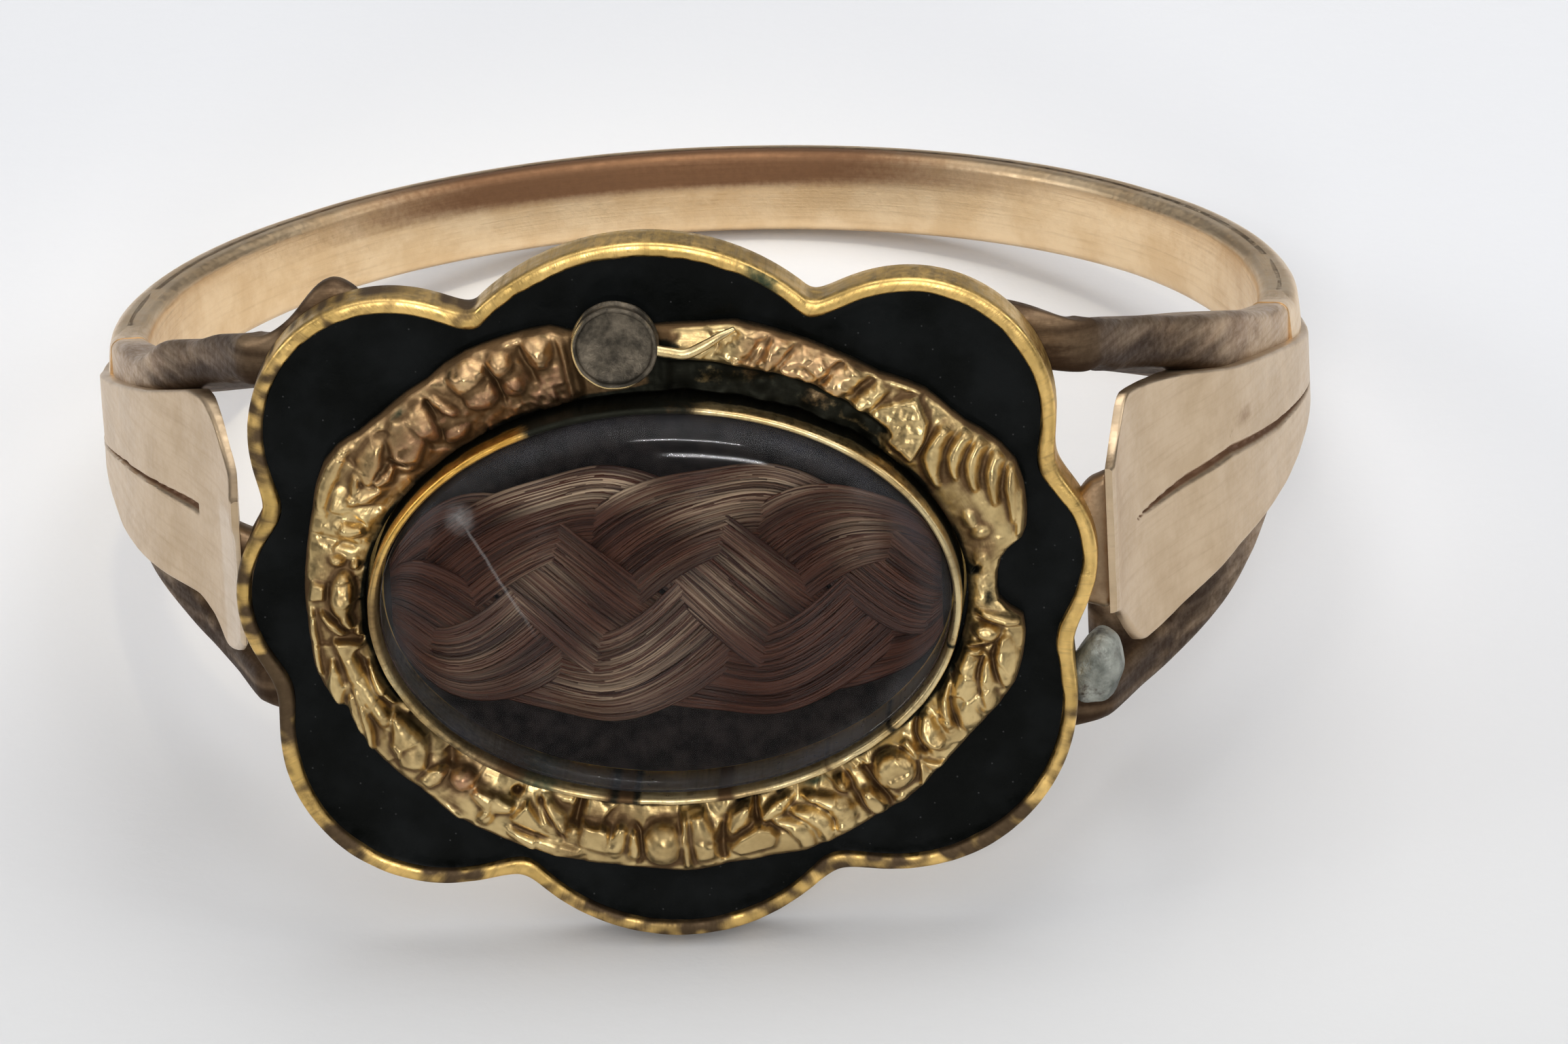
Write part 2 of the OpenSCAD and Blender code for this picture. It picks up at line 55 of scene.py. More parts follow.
BORE_R = 8.75
HOOP_R = 9.45
HEAD_BACK = 9.6
HEAD_U, HEAD_V = -0.12, -0.16
RIM_TOP = 10.4
RIM_T = 0.21
TRAY_FLOOR = 9.8
ENAMEL_TOP = 10.28
ENAMEL_SINK, ENAMEL_GAP = 0.035, 0.03
WINDOW_V = -0.1
WINDOW_A, WINDOW_B = 4.29, 3.0
COLLET_A, COLLET_B, COLLET_T = 4.47, 3.18, 0.15
COLLET_FOOT, COLLET_TOP = 9.86, 11.06
BORDER_A, BORDER_B, BORDER_H = 5.46, 4.36, 0.3
BORDER_GAP = 0.06
BORDER_BASE, BORDER_SINK = 10.31, 0.02
GROUND_BASE, GROUND_TOP = 9.83, 9.935
HAIR_MID = 10.285
CRYSTAL_BASE = 10.62
CRYSTAL_EDGE, DOME_H = 0.2, 0.55


def turned(p):
    """Ring-frame directions in the row's frame."""
    p = np.asarray(p, float)
    c, s = math.cos(TILT), math.sin(TILT)
    return together(p[..., 0], p[..., 1] * c + p[..., 2] * s, -p[..., 1] * s + p[..., 2] * c)


def lay(p):
    return (turned(p) + [0, SHIFT, LIFT]) / 1000


def on_face(u, v, n):
    """Points of the head from across, up and the height in front of the hoop's axis."""
    return together(u + HEAD_U, -n, v + HEAD_V)


def on_window(u, v, n):
    return on_face(u, np.asarray(v) + WINDOW_V, n)


def face_ring(reach, angle, n):
    return on_face(reach * np.cos(angle), reach * np.sin(angle), n)


def window_ring(a, b, angle, n):
    return on_window(a * np.cos(angle), b * np.sin(angle), n)


def together(*values):
    """Values side by side in a new last axis, each spread to the shape of all."""
    return np.stack(np.broadcast_arrays(*values), -1)


def round_angles(count):
    return np.arange(count) * 2 * math.pi / count


def clock_of(angle):
    """Degrees clockwise from the top, as on a clock's face."""
    return np.degrees(np.arctan2(np.cos(angle), np.sin(angle))) % 360


def signed(clock):
    return (clock + 180) % 360 - 180


def rise(x, start, width):
    """A soft step from 0 at start to 1 a width further on. With a width below zero it falls."""
    t = np.clip((np.asarray(x) - start) / width, 0, 1)
    return t * t * (3 - 2 * t)


def between(x, low, high, soft, soft_high=None):
    """1 between two values and 0 outside them, with soft ends."""
    return rise(x, low, soft) * rise(x, high, -(soft_high or soft))


def spot(*axes):
    """A round patch that fades out. Each axis gives the values, the patch's middle and its reach."""
    return np.exp(-sum(((x - middle) / reach) ** 2 for x, middle, reach in axes))


def table(columns, text):
    """Rows of numbers from text."""
    return np.array(text.split(), float).reshape(-1, columns)


def curve(xs, ys, at):
    """A smooth curve through points."""
    xs, ys = np.asarray(xs, float), np.asarray(ys, float)
    slopes = np.gradient(ys, xs)
    i = np.clip(np.searchsorted(xs, at) - 1, 0, len(xs) - 2)
    h = xs[i + 1] - xs[i]
    t = np.clip((at - xs[i]) / h, 0, 1)
    start = ys[i] * (2 * t**3 - 3 * t**2 + 1) + slopes[i] * h * (t**3 - 2 * t**2 + t)
    return start + ys[i + 1] * (3 * t**2 - 2 * t**3) + slopes[i + 1] * h * (t**3 - t**2)


def straight(rows, at, column):
    return np.interp(at, rows[:, 0], rows[:, column])


def eased(values, width, closed=False):
    """Values drawn smooth along their first axis. The ends are kept, or run into each other when closed."""
    values = np.asarray(values, float)
    if closed:
        pad = np.concatenate([values[-width:], values, values[:width]])
    else:
        pad = np.concatenate([values[:1]] * width + [values] + [values[-1:]] * width)
    return sum(pad[k : k + len(values)] for k in range(2 * width + 1)) / (2 * width + 1)


def waves(points, size, seed, count=24):
    """Smooth seeded noise of about -1 to 1 over points in millimetres, with lumps of about that size."""
    draw = np.random.default_rng(seed)
    points = np.asarray(points, float)
    pull = draw.normal(size=(count, points.shape[-1])) * (2.2 / size)
    start = draw.uniform(0, 2 * math.pi, count)
    total = np.zeros(points.shape[:-1])
    for k in range(count):
        total += np.sin(points @ pull[k] + start[k])
    return total / math.sqrt(count)


def grid_faces(rows, cols, wrap_rows=False, wrap_cols=False):
    r = np.arange(rows if wrap_rows else rows - 1)
    c = np.arange(cols if wrap_cols else cols - 1)
    r, c = np.meshgrid(r, c, indexing="ij")
    r1, c1 = (r + 1) % rows, (c + 1) % cols
    return together(r * cols + c, r * cols + c1, r1 * cols + c1, r1 * cols + c).reshape(-1, 4).tolist()


def loft_faces(rows, cols):
    """Faces of a solid whose sections are closed loops, with a face at each end."""
    ends = [list(range(cols))[::-1], list(range((rows - 1) * cols, rows * cols))]
    return grid_faces(rows, cols, wrap_cols=True) + ends


def ring_faces(rows, cols):
    """Faces of a solid whose sections are closed loops and whose last section meets the first."""
    return grid_faces(rows, cols, wrap_rows=True, wrap_cols=True)


def rounded_loop(low, high, inner, outer, low_r, high_r, per_corner=6, per_side=10):
    """Loops of a rounded rectangle, one per row of the bounds: across from low to high, out from inner to
    outer, with a radius for the corners on the low side and one for those on the high side."""
    bounds = np.broadcast_arrays(low, high, inner, outer, low_r, high_r)
    low, high, inner, outer, low_r, high_r = (x[:, None] for x in bounds)
    room = np.minimum(high - low, outer - inner) * 0.49
    corners = []
    for k, (sx, sy) in enumerate(((1, 1), (-1, 1), (-1, -1), (1, -1))):
        t = math.pi / 2 * (k + np.arange(per_corner + 1) / per_corner)[None]
        radius = np.minimum(high_r if sx > 0 else low_r, room)
        cx = high - radius if sx > 0 else low + radius
        cy = outer - radius if sy > 0 else inner + radius
        corners.append(together(cx + radius * np.cos(t), cy + radius * np.sin(t)))
    loop = []
    for k in range(4):
        a, b = corners[k][:, -1:], corners[(k + 1) % 4][:, :1]
        t = np.arange(1, per_side)[None, :, None] / per_side
        loop += [corners[k], a * (1 - t) + b * t]
    return np.concatenate(loop, 1)


def tube(line, radius, sides):
    """Loops of a round wire along a line. The radius may change on the way."""
    ahead = np.gradient(line, axis=0)
    ahead /= np.linalg.norm(ahead, axis=1)[:, None]
    side = np.cross(ahead, [0, -1.0, 0])
    side /= np.linalg.norm(side, axis=1)[:, None]
    top = np.cross(side, ahead)
    t = round_angles(sides)[None, :, None]
    radius = np.broadcast_to(radius, (len(line),))[:, None, None]
    return line[:, None] + radius * (side[:, None] * np.cos(t) + top[:, None] * np.sin(t))


def show(name, data):
    shown = bpy.data.objects.new(name, data)
    bpy.context.scene.collection.objects.link(shown)
    return shown


def piece(name, points, faces, finish, stands_for=(), marks=None, sharp=None, close=True):
    """A piece on the ring, from ring-frame millimetres. Marks are values per point for its material."""
    points = np.asarray(points)
    mesh = bpy.data.meshes.new(name)
    mesh.from_pydata(lay(points).reshape(-1, 3).tolist(), [], faces)
    mesh.update()
    if close:
        shape = bmesh.new()
        shape.from_mesh(mesh)
        bmesh.ops.recalc_face_normals(shape, faces=shape.faces)
        shape.to_mesh(mesh)
        shape.free()
    mesh.shade_smooth()
    if sharp:
        mesh.set_sharp_from_angle(angle=math.radians(sharp))
    for mark, values in (marks or {}).items():
        vector = mark in VECTOR_MARKS
        layer = mesh.attributes.new(mark, "FLOAT_VECTOR" if vector else "FLOAT", "POINT")
        values = np.broadcast_to(values, points.shape if vector else points.shape[:-1])
        layer.data.foreach_set("vector" if vector else "value", values.astype(np.float32).reshape(-1))
    mesh.materials.append(finish)
    shown = show(name, mesh)
    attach(shown, "root")
    if stands_for:
        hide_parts(*stands_for)


# Materials

# Marks are values on a piece's points. "run" is a place along and across the metal or a hair, "scratch" one
# along and beside the scratch. The others say how much of something there is: dirt, which in places is
# painted shade; soot, which in places is painted shade; green; warm for a reddish tarnish; second for the
# material's second tone, which on the collet is a painted reflection; edge for a painted reflection; tone;
# and glow for a painted highlight.
VECTOR_MARKS = "run", "scratch"


class Paint:
    """A material made of nodes. Textures are laid out in millimetres."""

    def __init__(self, name, **fixed):
        self.mat = bpy.data.materials.new(name)
        self.mat.use_nodes = True
        self.tree = self.mat.node_tree
        self.tree.nodes.clear()
        self.shader = self.add("ShaderNodeBsdfPrincipled")
        self.out = self.add("ShaderNodeOutputMaterial")
        self.link(self.shader.outputs[0], self.out.inputs[0])
        self.set(**fixed)
        metres = self.node("ShaderNodeTexCoord", "Object", {})
        self.place = self.node("ShaderNodeVectorMath", 0, {0: metres, "Scale": 1000}, operation="SCALE")

    def add(self, kind, **settings):
        node = self.tree.nodes.new(kind)
        for setting, value in settings.items():
            setattr(node, setting, value)
        return node

    def link(self, a, b):
        self.tree.links.new(a, b)

    def put(self, socket, value):
        if isinstance(value, bpy.types.NodeSocket):
            self.link(value, socket)
        elif socket.type == "RGBA":
            socket.default_value = (*value, 1)
        else:
            socket.default_value = value

    def set(self, **sockets):
        for socket, value in sockets.items():
            self.put(self.shader.inputs[socket.replace("_", " ")], value)

    def node(self, kind, output, inputs, **settings):
        """The output of a new node with these inputs."""
        node = self.add(kind, **settings)
        for socket, value in inputs.items():
            self.put(node.inputs[socket], value)
        return node.outputs[output]

    def mark(self, name):
        output = "Vector" if name in VECTOR_MARKS else "Fac"
        return self.node("ShaderNodeAttribute", output, {}, attribute_name=name)

    def stretched(self, vector, scale):
        return self.node("ShaderNodeVectorMath", 0, {0: vector, 1: scale}, operation="MULTIPLY")

    def parts(self, vector):
        node = self.add("ShaderNodeSeparateXYZ")
        self.link(vector, node.inputs[0])
        return node.outputs

    def noise(self, per_mm, detail=3.0, rough=0.55, where=None, twist=0.0):
        inputs = {"Vector": where or self.place, "Scale": per_mm}
        inputs |= {"Detail": detail, "Roughness": rough, "Distortion": twist}
        return self.node("ShaderNodeTexNoise", "Fac", inputs)

    def cells(self, per_mm):
        return self.node("ShaderNodeTexVoronoi", "Distance", {"Vector": self.place, "Scale": per_mm})

    def span(self, value, low, high, to_low=0.0, to_high=1.0):
        inputs = {"Value": value, "From Min": low, "From Max": high, "To Min": to_low, "To Max": to_high}
        return self.node("ShaderNodeMapRange", "Result", inputs, interpolation_type="SMOOTHSTEP")

    def calc(self, operation, a, b):
        return self.node("ShaderNodeMath", 0, {0: a, 1: b}, operation=operation)

    def plus(self, a, b):
        return self.calc("ADD", a, b)

    def times(self, a, b):
        return self.calc("MULTIPLY", a, b)

    def most(self, a, b):
        return self.calc("MAXIMUM", a, b)

    def mix(self, share, a, b):
        return self.node("ShaderNodeMix", 2, {"Factor": share, 6: a, 7: b}, data_type="RGBA")

    def mix_shaders(self, share, a, b):
        return self.node("ShaderNodeMixShader", 0, {0: share, 1: a, 2: b})

    def bump(self, height, depth_mm):
        return self.node("ShaderNodeBump", 0, {"Strength": 1, "Distance": depth_mm / 1000, "Height": height})


WARM_TARNISH = (0.55, 0.27, 0.17)
VERDIGRIS = (0.04, 0.07, 0.045)
# near-black, for soot and for painted shade
SOOT_AND_SHADE = (0.022, 0.022, 0.016)


def gold(name, light, deep, stain, stain_at, rough, streaks, second=None, darken_at=(0.4, 0.95)):
    """Old gold: two tones in patches, brown stains, streaks along the metal's run, and dirt where marked.
    In some places the marked dirt and soot are painted shade.
    """
    p = Paint(name, Metallic=1.0)
    run = p.mark("run")
    patches = p.noise(1.1, 4, 0.6)
    fine = p.noise(9, 4, 0.6)
    colour = p.mix(p.span(patches, 0.35, 0.65), light, deep)
    if second:
        colour = p.mix(p.mark("second"), colour, p.mix(p.span(patches, 0.35, 0.65), *second))
    colour = p.mix(p.times(p.mark("warm"), p.span(fine, 0.25, 0.6, 0.35, 0.8)), colour, WARM_TARNISH)
    lines = p.noise(1, 5, 0.65, where=p.stretched(run, (0.35, 9, 9)))
    colour = p.mix(p.times(p.span(lines, 0.5, 0.8), streaks), colour, stain)
    stains = p.plus(p.times(p.noise(0.8, 5, 0.65, twist=0.6), 0.75), p.times(fine, 0.25))
    grime = p.plus(p.times(fine, 0.17), p.times(lines, 0.18))
    # the dirt mark is dirt in most places and painted shade in some
    darkened = p.span(p.plus(p.mark("dirt_and_shade"), grime), *darken_at)
    covered = p.most(p.span(stains, *stain_at), darkened)
    colour = p.mix(covered, colour, stain)
    green = p.span(p.plus(p.mark("green"), p.times(p.noise(7, 3), 0.6)), 0.6, 1.25)
    colour = p.mix(green, colour, VERDIGRIS)
    # the soot mark darkens towards near-black, for soot and in places for painted shade
    soot_and_shade = p.span(p.plus(p.mark("soot_and_shade"), p.times(fine, 0.4)), 0.45, 0.85)
    worn = p.span(p.plus(p.times(fine, 0.5), p.times(lines, 0.5)), 0.35, 0.65, *rough)
    dull = p.times(p.most(p.most(covered, soot_and_shade), green), 0.25)
    scratches = p.noise(1, 3, 0.6, where=p.stretched(run, (0.8, 30, 30)))
    p.set(Base_Color=p.mix(soot_and_shade, colour, SOOT_AND_SHADE), Roughness=p.plus(worn, dull))
    p.set(Normal=p.bump(p.plus(fine, p.times(scratches, 0.6)), 0.004))
    return p.mat


# A light and a deep tone of each gold, then the colours of the stains
HOOP_TONES = (0.86, 0.66, 0.42), (0.76, 0.55, 0.32)
LEAF_TONES = (0.67, 0.51, 0.335), (0.59, 0.435, 0.27)
FACET_TONES = (0.86, 0.76, 0.65), (0.78, 0.69, 0.58)
STRAP_TONES = (0.55, 0.39, 0.235), (0.41, 0.27, 0.155)
RIM_TONES = (1.0, 0.67, 0.235), (0.68, 0.45, 0.145)
COLLET_TONES = (0.82, 0.66, 0.36), (0.6, 0.42, 0.18)
# the collet's amber second tone is a painted orange reflection
AMBER_REFLECTION_TONES = (0.92, 0.55, 0.13), (0.74, 0.4, 0.08)
BORDER_TONES = (0.76, 0.57, 0.27), (0.52, 0.37, 0.165)
HOOP_STAIN = (0.24, 0.13, 0.07)
STRAP_STAIN = (0.062, 0.037, 0.022)
RIM_STAIN = (0.12, 0.08, 0.045)
COLLET_STAIN = (0.13, 0.075, 0.035)
BORDER_STAIN = (0.19, 0.115, 0.055)
band_gold = gold("band_gold", *HOOP_TONES, HOOP_STAIN, (0.64, 0.8), (0.28, 0.45), 0.2)
leaf_gold = gold("leaf_gold", *LEAF_TONES, HOOP_STAIN, (0.64, 0.8), (0.3, 0.44), 0.16, FACET_TONES)
strap_gold = gold(
    "strap_gold", *STRAP_TONES, STRAP_STAIN, (0.66, 0.84), (0.3, 0.5), 0.3, HOOP_TONES, darken_at=(0.15, 1.3)
)
rim_gold = gold("rim_gold", *RIM_TONES, RIM_STAIN, (0.52, 0.76), (0.28, 0.5), 0.5)
collet_gold = gold("collet_gold", *COLLET_TONES, COLLET_STAIN, (0.56, 0.76), (0.26, 0.42), 0.4, AMBER_REFLECTION_TONES)
border_gold = gold("border_gold", *BORDER_TONES, BORDER_STAIN, (0.56, 0.78), (0.28, 0.48), 0.12)


def enamel_paint():
    """Black enamel with a few pale specks."""
    p = Paint("enamel_black", Specular_IOR_Level=0.06)
    colour = p.mix(p.span(p.noise(0.9, 3, 0.5), 0.35, 0.7), (0.003, 0.0035, 0.003), (0.008, 0.009, 0.009))
    specks = p.span(p.cells(5), 0.09, 0.03)
    p.set(Base_Color=p.mix(p.times(specks, 0.35), colour, (0.12, 0.12, 0.12)))
    p.set(Roughness=p.span(p.noise(3, 4, 0.6), 0.3, 0.7, 0.12, 0.34))
    p.set(Normal=p.bump(p.noise(2.5, 4, 0.6), 0.006))
    return p.mat


def glass_paint():
    """Clear glass with a painted grey-blue reflection near its edge, dust, a dull spot and a scratch that
    runs down from it.
    """
    p = Paint("old_crystal", Roughness=0.5)
    # a painted reflection near the glass's edge, in patches
    edge_reflection = p.times(p.span(p.mark("edge"), 0.4, 0.85), p.span(p.noise(0.8, 4, 0.6), 0.3, 0.7, 0.15, 1.0))
    dust = p.span(p.cells(9), 0.1, 0.04)
    veil = p.span(p.noise(2.2, 5, 0.65), 0.45, 0.8)
    share = p.plus(p.plus(p.times(edge_reflection, 0.12), p.times(dust, 0.09)), p.times(veil, 0.004))
    scratch = p.mark("scratch")
    place = p.parts(scratch)
    along, beside = place["X"], place["Y"]
    wobble = p.times(p.calc("SUBTRACT", p.noise(1.5, 2), 0.5), 0.12)
    aside = p.calc("ABSOLUTE", p.plus(beside, wobble), 0)
    line = p.times(p.times(p.span(aside, 0.035, 0.008), p.span(along, 2.4, 1.4)), p.span(along, 0.0, 0.1))
    away = p.node("ShaderNodeVectorMath", "Value", {0: scratch}, operation="LENGTH")
    dull = p.times(p.span(away, 0.3, 0.02), p.span(p.noise(9, 4, 0.7), 0.3, 0.7, 0.3, 1))
    share = p.plus(share, p.most(p.times(line, 0.18), p.times(dull, 0.38)))
    # the bluish grey is the painted reflection near the edge, the paler grey is dust and the dull spot
    p.set(Base_Color=p.mix(edge_reflection, (0.5, 0.48, 0.46), (0.2, 0.21, 0.26)))
    clear = p.node("ShaderNodeBsdfTransparent", 0, {})
    gloss = p.node("ShaderNodeBsdfGlossy", 0, {"Roughness": 0.06})
    mirror = p.node("ShaderNodeFresnel", 0, {"IOR": 1.16})
    glass = p.mix_shaders(mirror, clear, gloss)
    p.link(p.mix_shaders(share, glass, p.shader.outputs[0]), p.out.inputs[0])
    return p.mat


def hair_paint():
    """Brown hair: the tone mark says how light a strand is, the glow mark where the light catches a lock."""
    p = Paint("hair", Roughness=0.42, Specular_IOR_Level=0.16)
    along = p.noise(1, 3, 0.6, where=p.stretched(p.mark("run"), (0.9, 20, 20)))
    tone = p.plus(p.times(p.mark("tone"), 0.7), p.times(along, 0.3))
    colour = p.mix(p.span(tone, 0.1, 0.95), (0.02, 0.007, 0.0045), (0.098, 0.037, 0.022))
    p.set(Base_Color=p.mix(p.mark("glow"), colour, (0.62, 0.46, 0.31)))
    return p.mat


def ground_paint():
    p = Paint("dark_backing", Roughness=0.8, Specular_IOR_Level=0.1)
    patches = p.span(p.noise(3, 4, 0.6), 0.3, 0.7)
    p.set(Base_Color=p.mix(patches, (0.006, 0.005, 0.005), (0.022, 0.017, 0.016)))
    p.set(Normal=p.bump(p.noise(4, 3, 0.6), 0.01))
    return p.mat


def cup_paint():
    """Dark worn metal with a painted highlight on its lip."""
    p = Paint("worn_cup", Metallic=0.85)
    # the edge mark holds a painted highlight on the lip
    lip = p.mark("edge")
    face = p.mix(p.span(p.noise(2.5, 5, 0.65), 0.35, 0.68), (0.045, 0.038, 0.028), (0.2, 0.165, 0.12))
    p.set(Base_Color=p.mix(p.span(lip, 0.4, 0.8), face, (0.72, 0.52, 0.24)))
    p.set(Roughness=p.span(lip, 0.4, 0.8, 0.5, 0.25), Normal=p.bump(p.noise(10, 4, 0.65), 0.015))
    return p.mat


def solder_paint():
    """Grey solder with brown patches."""
    p = Paint("grey_solder", Metallic=0.7)
    colour = p.mix(p.span(p.noise(2.2, 4, 0.6), 0.3, 0.7), (0.13, 0.14, 0.12), (0.42, 0.43, 0.38))
    brown = p.span(p.noise(1.6, 4, 0.7, twist=0.5), 0.52, 0.66)
    p.set(Base_Color=p.mix(brown, colour, (0.09, 0.07, 0.055)))
    p.set(Roughness=p.span(p.noise(5, 3), 0.3, 0.7, 0.45, 0.8), Normal=p.bump(p.noise(5, 4, 0.6), 0.05))
    return p.mat


# The head: its outline from eight lobes, each with its middle across and up and its radius

LOBES = table(3, """
-0.16 1.78 3.64   3.75 2.55 2.19   4.84 0.31 1.64   3.34 -1.88 2.76
0 -2.55 3.06   -3.48 -2.19 2.47   -4.69 0 1.79   -4.01 2.52 2.15
""")
LOBE_SHARPNESS = 24


def head_reach(inset, angle):
    """Distance from the face's middle to the head's outline, drawn in by inset."""
    total = 0
    for u, v, r in LOBES:
        along = u * np.cos(angle) + v * np.sin(angle)
        under = along**2 - (u * u + v * v - (r - inset) ** 2)
        ray = np.where(under > 0, along + np.sqrt(np.maximum(under, 0)), 0.01)
        total = total + np.maximum(ray, 0.01) ** LOBE_SHARPNESS
    return total ** (1 / LOBE_SHARPNESS)


def soft_reach(inset, angle):
    """The same with its valleys worn round, as on the inner side of the rim."""
    turns = np.radians(np.linspace(-2.2, 2.2, 7))
    return sum(head_reach(inset, angle + a) for a in turns) / len(turns)


# The rim's section, as inset and height: from under the head round the rim and down inside to the floor
BACK_INSET, INNER_INSET = 0.35, 0.212
RIM_SECTION = [
    (BACK_INSET, HEAD_BACK), (0.12, HEAD_BACK), (0.03, HEAD_BACK + 0.02), (0, HEAD_BACK + 0.08), (0, 9.82),
    (0, 10), (0, 10.2), (0, RIM_TOP - 0.1), (0.006, RIM_TOP - 0.055), (0.022, RIM_TOP - 0.022),
    (0.05, RIM_TOP - 0.008), (0.09, RIM_TOP - 0.001), (0.13, RIM_TOP), (0.165, RIM_TOP - 0.004),
    (0.19, RIM_TOP - 0.017), (0.206, RIM_TOP - 0.05), (RIM_T, RIM_TOP - 0.1), (INNER_INSET, 10.1),
    (INNER_INSET, TRAY_FLOOR),
]
# Where the rim is darker: clock angles of the left side with their soft ends, and the middle and reach at the
# upper left. Where it is green: a middle and a reach.
RIM_LEFT = 240, 312, 26, 30
RIM_ABOVE, RIM_ABOVE_REACH = 316, 32
RIM_GREEN = 19, 6


def head_tray():
    """The tray with its raised rim, closed at the back."""
    around = 1440
    angle = round_angles(around)
    ring = together(6 * np.cos(angle), 5 * np.sin(angle))
    filed = waves(ring, 0.9, 11) * 0.5 + waves(ring, 0.22, 12, 40) * 0.35
    rows = []
    for inset, n in RIM_SECTION:
        top = rise(n, 10.25, 0.15)
        if inset > 0.15 and n > 9.7:
            reach = soft_reach(inset, angle) + 0.02 * filed - 0.01
        else:
            reach = head_reach(inset, angle) * (1 - 0.0012 * top * (1 + filed))
        rows.append(face_ring(reach, angle, n - top * 0.012 * (1 + filed)))
    # the back and the floor of the tray close on rings of points towards the middle
    for n, inset in ((HEAD_BACK, BACK_INSET), (TRAY_FLOOR, INNER_INSET)):
        for share in (0.66, 0.33, 0.02):
            rows.append(face_ring(head_reach(inset, angle) * share, angle, n))
    stack = np.array(rows)
    count = len(RIM_SECTION)
    faces = grid_faces(count, around, wrap_cols=True)
    for chain in ([0, count, count + 1, count + 2], [count - 1, count + 3, count + 4, count + 5]):
        for a, b in zip(chain, chain[1:]):
            for i in range(around):
                j = (i + 1) % around
                faces.append([a * around + i, b * around + i, b * around + j, a * around + j])
        faces.append([chain[-1] * around + i for i in range(around)])
    row = np.arange(len(stack))[:, None]
    run = together(row * 0.12, angle * 5.5, 0)
    clock = clock_of(angle)
    left = between(clock, *RIM_LEFT)
    above = rise(np.abs(clock - RIM_ABOVE), RIM_ABOVE_REACH, -RIM_ABOVE_REACH)
    below = rise(np.cos(np.radians(clock)), 0.3, -1.2)
    mottled = 0.6 * waves(stack[..., [0, 2]], 0.8, 13) + 0.5 * waves(stack[..., [0, 2]], 0.2, 15)
    # the rim is darker on its left, at the upper left and towards the bottom, with mottled patches
    brown = 0.425 * above + 0.56 * below + 0.68 * left
    dirt_and_shade = 0.3 * (row < 6) + brown + (0.2 + 0.2 * left + 0.24 * below + 0.26 * above) * mottled
    for k in (0, *range(count, len(stack))):
        run[k] = stack[k][:, [0, 2, 1]] * [1, 0.4, 0]
        dirt_and_shade[k] = 0.3 + 0.12 * waves(stack[k][:, [0, 2]], 2.5, 14)
    green = 0.8 * ((row > 8) & (row < 16)) * spot((clock, *RIM_GREEN))
    marks = {"run": run, "dirt_and_shade": dirt_and_shade, "green": green}
    piece("head_tray", stack, faces, rim_gold, marks=marks, sharp=50)


def enamel_field():
    """The enamel between the rim and the collet: a little sunk, creeping up at the rim."""
    around, across = 720, 16
    angle = round_angles(around)
    outer = soft_reach(RIM_T + 0.006, angle) - 0.012
    a, b = COLLET_A + ENAMEL_GAP, COLLET_B + ENAMEL_GAP
    inner = 1 / np.sqrt((np.cos(angle) / a) ** 2 + (np.sin(angle) / b) ** 2)
    rows = []
    for k in range(across):
        t = 1 - (1 - k / (across - 1)) ** 1.6
        reach = inner + (outer - inner) * t
        from_rim = (outer - inner) * (1 - t)
        creep = 0.018 * np.exp(-from_rim / 0.1)
        flow = 0.012 * waves(together(reach * np.cos(angle), reach * np.sin(angle)), 1.6, 21)
        flow = flow * (1 - np.exp(-from_rim / 0.3))
        rows.append(face_ring(reach, angle, ENAMEL_TOP - ENAMEL_SINK + creep + flow))
    for reach in (outer, inner):
        rows.append(face_ring(reach, angle, GROUND_BASE + 0.005))
    faces = ring_faces(len(rows), around)
    piece("enamel_field", rows, faces, enamel_paint(), ["enamel"], sharp=50)


# The collet's section, as a share of the wall's thickness and a height: from the foot outside over the
# burnished lip and down inside
COLLET_SECTION = [
    (1, COLLET_FOOT), (1, 10.3), (1, 10.6), (1, 10.8), (0.99, 10.93), (0.95, 11), (0.86, 11.04),
    (0.7, 11.058), (0.5, COLLET_TOP), (0.3, 11.05), (0.14, 11.02), (0.04, 10.97), (0, 10.9), (0, 10.6),
    (0, 10.2), (0, COLLET_FOOT),
]
# How tarnished the collet is: clock angle and share
COLLET_TARNISH = table(2, """
0 0.95   8 0.85   22 0.45   45 0.5   75 0.35   95 0.2   120 0.12   165 0.4   185 0.85
215 1   250 0.7   275 0.4   298 0.2   312 0.05   332 0.15   340 0.85   360 0.95
""")
# Narrow marks on the collet: clock angle and reach
COLLET_STAINS = (190, 2.5), (170, 1.5), (148, 1), (131, 1.5)
COLLET_SOOT = (192, 1.5), (187.5, 1.2), (131, 1.3), (104, 1)
# Its darker stretches: the middle, the reach and the width of the soft end
COLLET_TOP_DARK = -11, 27, 15
COLLET_LEFT_DARK = 238, 24, 12
COLLET_GREEN = 207, 7
# The stretch at the upper left, painted amber as a reflection: clock angles and their soft ends
COLLET_AMBER_REFLECTION = 268, 338, 30, 8


